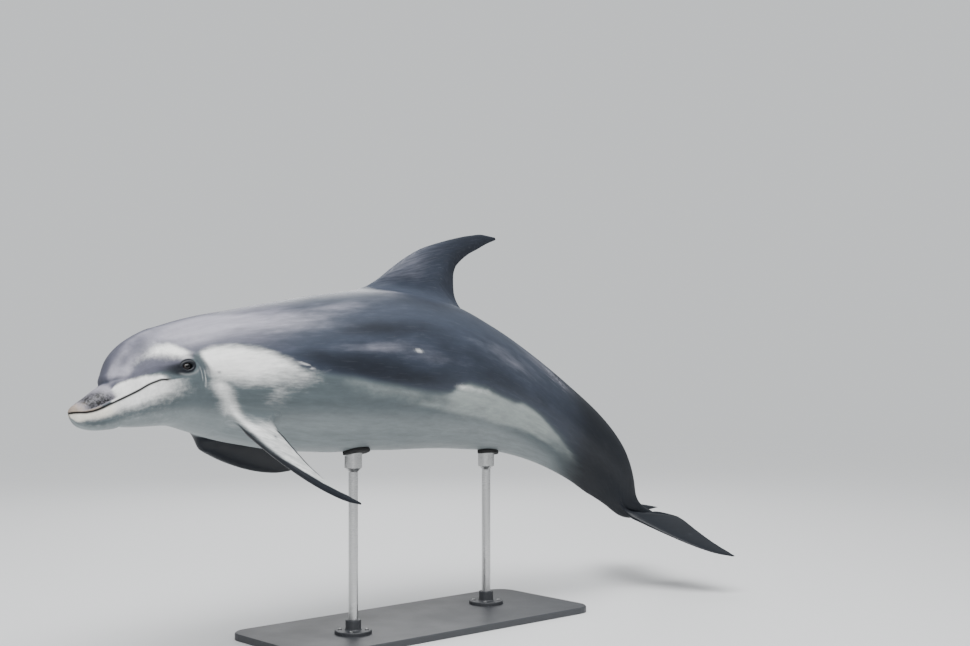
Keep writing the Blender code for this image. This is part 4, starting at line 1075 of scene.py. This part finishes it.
def eye_material():
    """Polished resin eye: a near-black pupil in a dark brown iris under a clear, wet-looking gloss."""
    mat, tree, shader = new_material("polished_resin_eye")
    shade = put(tree, "ValToRGB", (put(tree, "Attribute", out="Fac", attribute_name="iris"),))
    stops = shade.node.color_ramp.elements
    for at, _ in IRIS[1:-1]:
        stops.new(at)
    for stop, (_, code) in zip(stops, IRIS):
        stop.color = (*to_linear(code), 1.0)
    connect(tree, shader, {"Base Color": shade, "Roughness": 0.05, "IOR": 1.38})
    return mat


def powder_coat(code):
    """Satin powder coat on steel: a fine orange-peel of about 1 mm under an even dark grey."""
    mat, tree, shader = new_material("satin_powder_coat")
    place = put(tree, "TexCoord", out="Object")
    peel = put(tree, "TexNoise", {"Vector": place, "Scale": 900.0, "Detail": 2.0})
    cloud = put(tree, "TexNoise", {"Vector": place, "Scale": 6.0, "Detail": 4.0})
    connect(tree, shader, {
        "Base Color": code,
        "Roughness": put(tree, "MapRange", (cloud, 0.35, 0.65, 0.40, 0.52)),
        "Normal": put(tree, "Bump", {"Strength": 0.35, "Distance": 0.0002, "Height": peel}),
    })
    return mat


def brushed_steel(code):
    """Turned and brushed stainless steel: fine rings round the rod that smear its highlights."""
    mat, tree, shader = new_material("brushed_stainless_steel")
    place = put(tree, "TexCoord", out="Object")
    flat = put(tree, "Mapping", {"Vector": place, "Scale": (1, 1, 40)})
    lines = put(tree, "TexNoise", {"Vector": flat, "Scale": 60.0, "Detail": 3.0})
    cloud = put(tree, "TexNoise", {"Vector": place, "Scale": 8.0, "Detail": 4.0})
    fine = put(tree, "MapRange", (lines, 0.35, 0.65, 0.22, 0.34))
    broad = put(tree, "MapRange", (cloud, 0.35, 0.65, 0.0, 0.06))
    connect(tree, shader, {
        "Base Color": code,
        "Metallic": 1.0,
        "Roughness": put(tree, "Math.ADD", (fine, broad)),
        "Normal": put(tree, "Bump", {"Strength": 0.12, "Distance": 0.0002, "Height": lines}),
    })
    return mat


def pad_rubber(code):
    """Matt black rubber, moulded to the belly, with a fine grain of about 2 mm."""
    mat, tree, shader = new_material("moulded_rubber")
    place = put(tree, "TexCoord", out="Object")
    grain = put(tree, "TexNoise", {"Vector": place, "Scale": 500.0, "Detail": 3.0})
    connect(tree, shader, {
        "Base Color": code,
        "Roughness": put(tree, "MapRange", (grain, 0.35, 0.65, 0.68, 0.82)),
        "Normal": put(tree, "Bump", {"Strength": 0.3, "Distance": 0.0003, "Height": grain}),
    })
    return mat


def floor_material(code):
    """Pale matt studio floor that thins out to the backdrop far from the model."""
    mat, tree, shader = new_material("pale_studio_floor")
    far = put(tree, "VectorMath.LENGTH", (put(tree, "TexCoord", out="Object"),), "Value")
    fade = put(tree, "MapRange", (far, 2.2, 9.5, 1.0, 0.0), interpolation_type="SMOOTHERSTEP")
    connect(tree, shader, {"Base Color": code, "Roughness": 0.85, "Alpha": fade})
    return mat


# ---- eyes and saddles ------------------------------------------------------------------------------
SADDLE_HALF = (0.048, 12.5)      # half length along the belly, half width as degrees round it
SADDLE_GAP = 0.0005              # clearance under the belly
SADDLE_RIM = (
    (0.94, 0.0), (0.975, 0.06), (0.995, 0.25), (1.0, 0.5), (0.995, 0.75), (0.975, 0.94), (0.94, 1.0),
)


def ring_solid(name, rings, ends):
    """A closed mesh from rings of points and the two points that close it, with its faces turned out."""
    count, around = len(rings), len(rings[0])
    steps = [(k, (k + 1) % around) for k in range(around)]
    faces = [
        (first + k, first + m, first + around + m, first + around + k)
        for first in range(0, (count - 1) * around, around) for k, m in steps]
    for end, first in ((count * around, 0), (count * around + 1, (count - 1) * around)):
        faces += [(end, first + m, first + k) for k, m in steps]
    me = bpy.data.meshes.new(name)
    me.from_pydata(np.concatenate([*rings, ends]).tolist(), [], faces)
    shell = bmesh.new()
    shell.from_mesh(me)
    bmesh.ops.recalc_face_normals(shell, faces=shell.faces)
    shell.to_mesh(me)
    shell.free()
    return me


def build_eye(side, material):
    """A fine eyeball, round its own axis along, out and up, in the plain eye's place."""
    s, out, up = EYE_AT
    o, back, right, above = SPINE_LINE.frame(s)
    centre = o + right * side * out + above * up
    long, deep, high = EYE_HALF
    rings, around = 48, 96
    lat = np.linspace(0, np.pi, rings + 1)[1:-1]
    lon = 2 * np.pi * np.arange(around) / around
    la, lo = np.meshgrid(lat, lon, indexing="ij")
    shares = (long * np.sin(la) * np.cos(lo), high * np.sin(la) * np.sin(lo), deep * np.cos(la))
    points = centre + sum(share[..., None] * axis for share, axis in zip(shares, (back, above, right * side)))
    ends = [centre + right * side * deep, centre - right * side * deep]
    me = ring_solid("eyeball_left" if side < 0 else "eyeball_right", points, ends)
    iris = np.clip(np.concatenate([(la / (np.pi / 2)).ravel(), [0.0, 2.0]]), 0, 1)
    me.attributes.new("iris", "FLOAT", "POINT").data.foreach_set("value", iris.astype(np.float32))
    return show(me, material)


def build_saddle(name, middle, thick, material):
    """A rounded rubber saddle moulded to the belly round its middle station, with a soft rim."""
    turn = 2 * np.pi * np.arange(72) / 72
    squared = [np.sign(w) * np.abs(w) ** 0.55 for w in (np.cos(turn), np.sin(turn))]
    flat = np.linspace(0.12, 0.88, 8)

    def at(r, depth):
        s, a = middle + SADDLE_HALF[0] * r * squared[0], 180 + SADDLE_HALF[1] * r * squared[1]
        here = on_skin(s, a)
        out = unit(np.cross(on_skin(s + 0.002, a) - here, on_skin(s, a + 0.5) - here))
        out = out * -np.sign(out[:, 2:3])
        return here + out * (SADDLE_GAP + (thick - SADDLE_GAP) * depth)

    section = [(r, 0.0) for r in flat] + [*SADDLE_RIM] + [(r, 1.0) for r in flat[::-1]]
    rings = np.array([at(r, depth) for r, depth in section])
    return show(ring_solid(name, rings, rings[[0, -1]].mean(1)), material)


FLESH = (
    "rostrum_upper", "melon", "lower_jaw", "head", "neck", "chest", "trunk", "tail_stock_front",
    "tail_stock_rear", "dorsal_fin", "flipper_left", "flipper_right", "fluke_left", "fluke_right",
)


# ---- what a user may change ------------------------------------------------------------------------
def hex_prop(name, default, description):
    return StringProperty(name=name, default=default, description=description + ", as an sRGB hex code")


def size_prop(name, default, description, low=0.0):
    return FloatProperty(name=name, default=default, min=low, unit="LENGTH", description=description)


class DolphinSkinSettings(bpy.types.PropertyGroup):
    """Colours of the painted skin and depths of its grooves."""
    lip_groove: size_prop("Lip groove", 0.003, "Depth of the line between the lips")
    crease: size_prop("Melon crease", 0.0024, "Depth of the crease between beak and melon")
    cape: hex_prop("Cape", "#353c49", "Dark blue-grey of the back")
    cape_dark: hex_prop("Cape shade", "#181c24", "Darkest places in the cape")
    mauve: hex_prop("Crown", "#575865", "Grey-mauve of the melon and nape")
    wash: hex_prop("Wash", "#aba9b4", "Light washes over the cape")
    # flank and belly are darker than the animal's own greys: painted shade of the lower body
    flank: hex_prop("Flank", "#535d61", "Grey of the flanks")
    belly: hex_prop("Belly", "#80888a", "Pale grey of the belly")
    pale: hex_prop("Pale flank", "#a7afac", "Lighter grey of the flank under the cape")
    # the patches' white also paints the highlights under the lids and on the folds and flippers, and the
    # slate the flippers' painted shade
    white: hex_prop("Patches", "#f3f3f1", "Near-white brow, shoulder and jaw")
    slate: hex_prop("Slate", "#10151d", "Dark slate of the tail, eye stripe and fin edges")
    beak: hex_prop("Beak", "#94929c", "Grey of the beak's upper side")
    tan: hex_prop("Lips", "#ab9a8a", "Pinkish tan of the lips at the beak's tip")
    cream: hex_prop("Jaw tip", "#ece5d3", "Cream of the lower jaw's tip")
    line: hex_prop("Mouth line", "#121316", "Near-black of the line between the lips and the beak's patch")


class DolphinStandSettings(bpy.types.PropertyGroup):
    """Finishes of the display stand, and its saddles' places."""
    paint: hex_prop("Base paint", "#3a3c40", "Satin powder coat of the base and flanges")
    steel: hex_prop("Rod steel", "#c4c4c4", "Brushed stainless steel of the rods and screws")
    rubber: hex_prop("Saddle rubber", "#1c1c1d", "Rubber of the saddles")
    front: size_prop("Front saddle", 0.930, "Its middle, from the beak's tip")
    rear: size_prop("Rear saddle", 1.620, "Its middle, from the beak's tip")
    thick: size_prop("Saddle thickness", 0.012, "Rubber between belly and rod", 0.004)


class DolphinStageSettings(bpy.types.PropertyGroup):
    """Camera, lights and floor."""
    camera_at: FloatVectorProperty(
        name="Camera", default=(-2.972, -3.619, 0.929), subtype="TRANSLATION", unit="LENGTH",
        description="Place of the camera, ahead of the animal's left side and level with it")
    heading: FloatProperty(
        name="Heading", default=np.radians(-42.0), subtype="ANGLE", unit="ROTATION",
        description="Heading of the level camera, measured from +Y")
    lens: FloatProperty(
        name="Lens", default=55.67, min=10, description="Focal length in millimetres on a 36 mm sensor")
    floor: hex_prop("Floor", "#d9dadb", "Pale floor")
    backdrop: hex_prop("Backdrop", "#e3e6e8", "Soft light from all round")
    sky: FloatProperty(
        name="Backdrop light", default=0.44, min=0, description="Strength of the soft light from all round")
    key: FloatProperty(
        name="Key light", default=140.0, min=0, unit="POWER", description="Power of the large light overhead")
    sun: FloatProperty(
        name="Skylight", default=2.2, min=0, description="Strength of the broad even light from above")
    fill: FloatProperty(
        name="Fill light", default=38.0, min=0, unit="POWER",
        description="Power of the light by the camera and of the one behind the model")


# ---- operators -------------------------------------------------------------------------------------
class DOLPHIN_OT_skin(bpy.types.Operator):
    """Build the dolphin's unbroken skin over its solids"""
    bl_idname = "dolphin.skin"
    bl_label = "Build skin"

    def execute(self, context):
        skin = build_skin(context.scene.dolphin_skin)
        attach(skin, "root")
        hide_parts(*FLESH)
        return {"FINISHED"}


class DOLPHIN_OT_eyes(bpy.types.Operator):
    """Set the two polished eyes between their lids"""
    bl_idname = "dolphin.eyes"
    bl_label = "Build eyes"

    def execute(self, context):
        material = eye_material()
        for side, node in ((-1, "eye_left"), (1, "eye_right")):
            eye = build_eye(side, material)
            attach(eye, "root")
            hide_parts(node)
        return {"FINISHED"}


class DOLPHIN_OT_stand(bpy.types.Operator):
    """Finish the display stand's base, rods, flanges and screws, and set its saddles"""
    bl_idname = "dolphin.stand"
    bl_label = "Finish stand"

    def execute(self, context):
        settings = context.scene.dolphin_stand
        paint, steel = powder_coat(settings.paint), brushed_steel(settings.steel)
        rubber = pad_rubber(settings.rubber)
        for name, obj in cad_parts.items():
            if name.startswith("stand_"):
                for slot in obj.material_slots:
                    slot.material = steel if "_rod_" in name or "_screw_" in name else paint
        for place, middle in (("front", settings.front), ("rear", settings.rear)):
            saddle = build_saddle(f"stand_saddle_{place}", middle, settings.thick, rubber)
            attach(saddle, "root")
            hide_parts(f"stand_pad_{place}")
        return {"FINISHED"}


FLOOR_RADIUS = 12.0
SKYLIGHT_SPREAD = 50.0           # degrees across, so that its shadows are soft


class DOLPHIN_OT_stage(bpy.types.Operator):
    """Set up the pale floor, the soft lights and the camera"""
    bl_idname = "dolphin.stage"
    bl_label = "Set stage"

    def execute(self, context):
        settings, scene = context.scene.dolphin_stage, context.scene
        me = bpy.data.meshes.new("studio_floor")
        turn = 2 * np.pi * np.arange(96) / 96
        rim = FLOOR_RADIUS * np.stack([np.cos(turn), np.sin(turn), 0 * turn], 1)
        me.from_pydata(rim.tolist(), [], [range(96)])
        show(me, floor_material(settings.floor))
        scene.world = bpy.data.worlds.new("soft_studio")
        scene.world.use_nodes = True
        tree = scene.world.node_tree
        # the dome lights softly, and looks as bright as the floor's far end
        height = put(tree, "SeparateXYZ", (put(tree, "TexCoord", out="Generated"),), "Z")
        dome = put(tree, "MapRange", (height, 0.1, 0.9, settings.sky, 1.5 * settings.sky))
        seen = put(tree, "LightPath", out="Is Camera Ray")
        connect(tree, tree.nodes["Background"], {
            "Color": settings.backdrop, "Strength": put(tree, "Mix", {0: seen, 2: dome, 3: 1.0})})
        for name, at, aim, size, power in (
            ("overhead", (-0.6, -0.9, 3.6), (-0.1, 0.0, 0.8), 3.0, settings.key),
            ("fill", (-3.6, -3.4, 1.9), (-0.2, 0.0, 0.7), 1.8, settings.fill),
            ("rim", (1.9, 2.8, 2.4), (0.2, 0.0, 0.8), 1.6, settings.fill),
            ("skylight", (-1.2, -1.6, 5.0), (0.0, 0.0, 0.0), None, settings.sun),
        ):
            data = bpy.data.lights.new(name, "AREA" if size else "SUN")
            data.energy = power
            if size:
                data.size = size
            else:
                data.angle = np.radians(SKYLIGHT_SPREAD)
            lamp = bpy.data.objects.new(name, data)
            lamp.location = at
            lamp.rotation_euler = (Vector(aim) - Vector(at)).to_track_quat("-Z", "Y").to_euler()
            scene.collection.objects.link(lamp)
        data = bpy.data.cameras.new("camera")
        data.lens, data.sensor_width = settings.lens, 36.0
        data.clip_start, data.clip_end = 0.05, 60.0
        scene.camera = bpy.data.objects.new("camera", data)
        scene.camera.location = settings.camera_at
        scene.camera.rotation_euler = (np.radians(90.0), 0.0, settings.heading)
        scene.collection.objects.link(scene.camera)
        return {"FINISHED"}


class DOLPHIN_PT_panel(bpy.types.Panel):
    """Shows the sizes, colours and lights that can be changed, and the steps that build the model"""
    bl_label = "Dolphin"
    bl_idname = "DOLPHIN_PT_panel"
    bl_space_type = "VIEW_3D"
    bl_region_type = "UI"
    bl_category = "Dolphin"

    def draw(self, context):
        for group in GROUPS:
            box = self.layout.box()
            settings = getattr(context.scene, group)
            for name in settings.__annotations__:
                box.prop(settings, name)
        for operator in STEPS:
            self.layout.operator(operator.bl_idname)


GROUPS = {
    "dolphin_skin": DolphinSkinSettings,
    "dolphin_stand": DolphinStandSettings,
    "dolphin_stage": DolphinStageSettings,
}
STEPS = (DOLPHIN_OT_skin, DOLPHIN_OT_eyes, DOLPHIN_OT_stand, DOLPHIN_OT_stage)


def register():
    for cls in (*GROUPS.values(), *STEPS, DOLPHIN_PT_panel):
        bpy.utils.register_class(cls)
    for name, cls in GROUPS.items():
        setattr(bpy.types.Scene, name, PointerProperty(type=cls))


def unregister():
    for name in GROUPS:
        delattr(bpy.types.Scene, name)
    for cls in (DOLPHIN_PT_panel, *reversed(STEPS), *reversed(GROUPS.values())):
        bpy.utils.unregister_class(cls)


def main():
    register()
    for name in ("skin", "eyes", "stand", "stage"):
        getattr(bpy.ops.dolphin, name)()


if __name__ == "__main__":
    main()
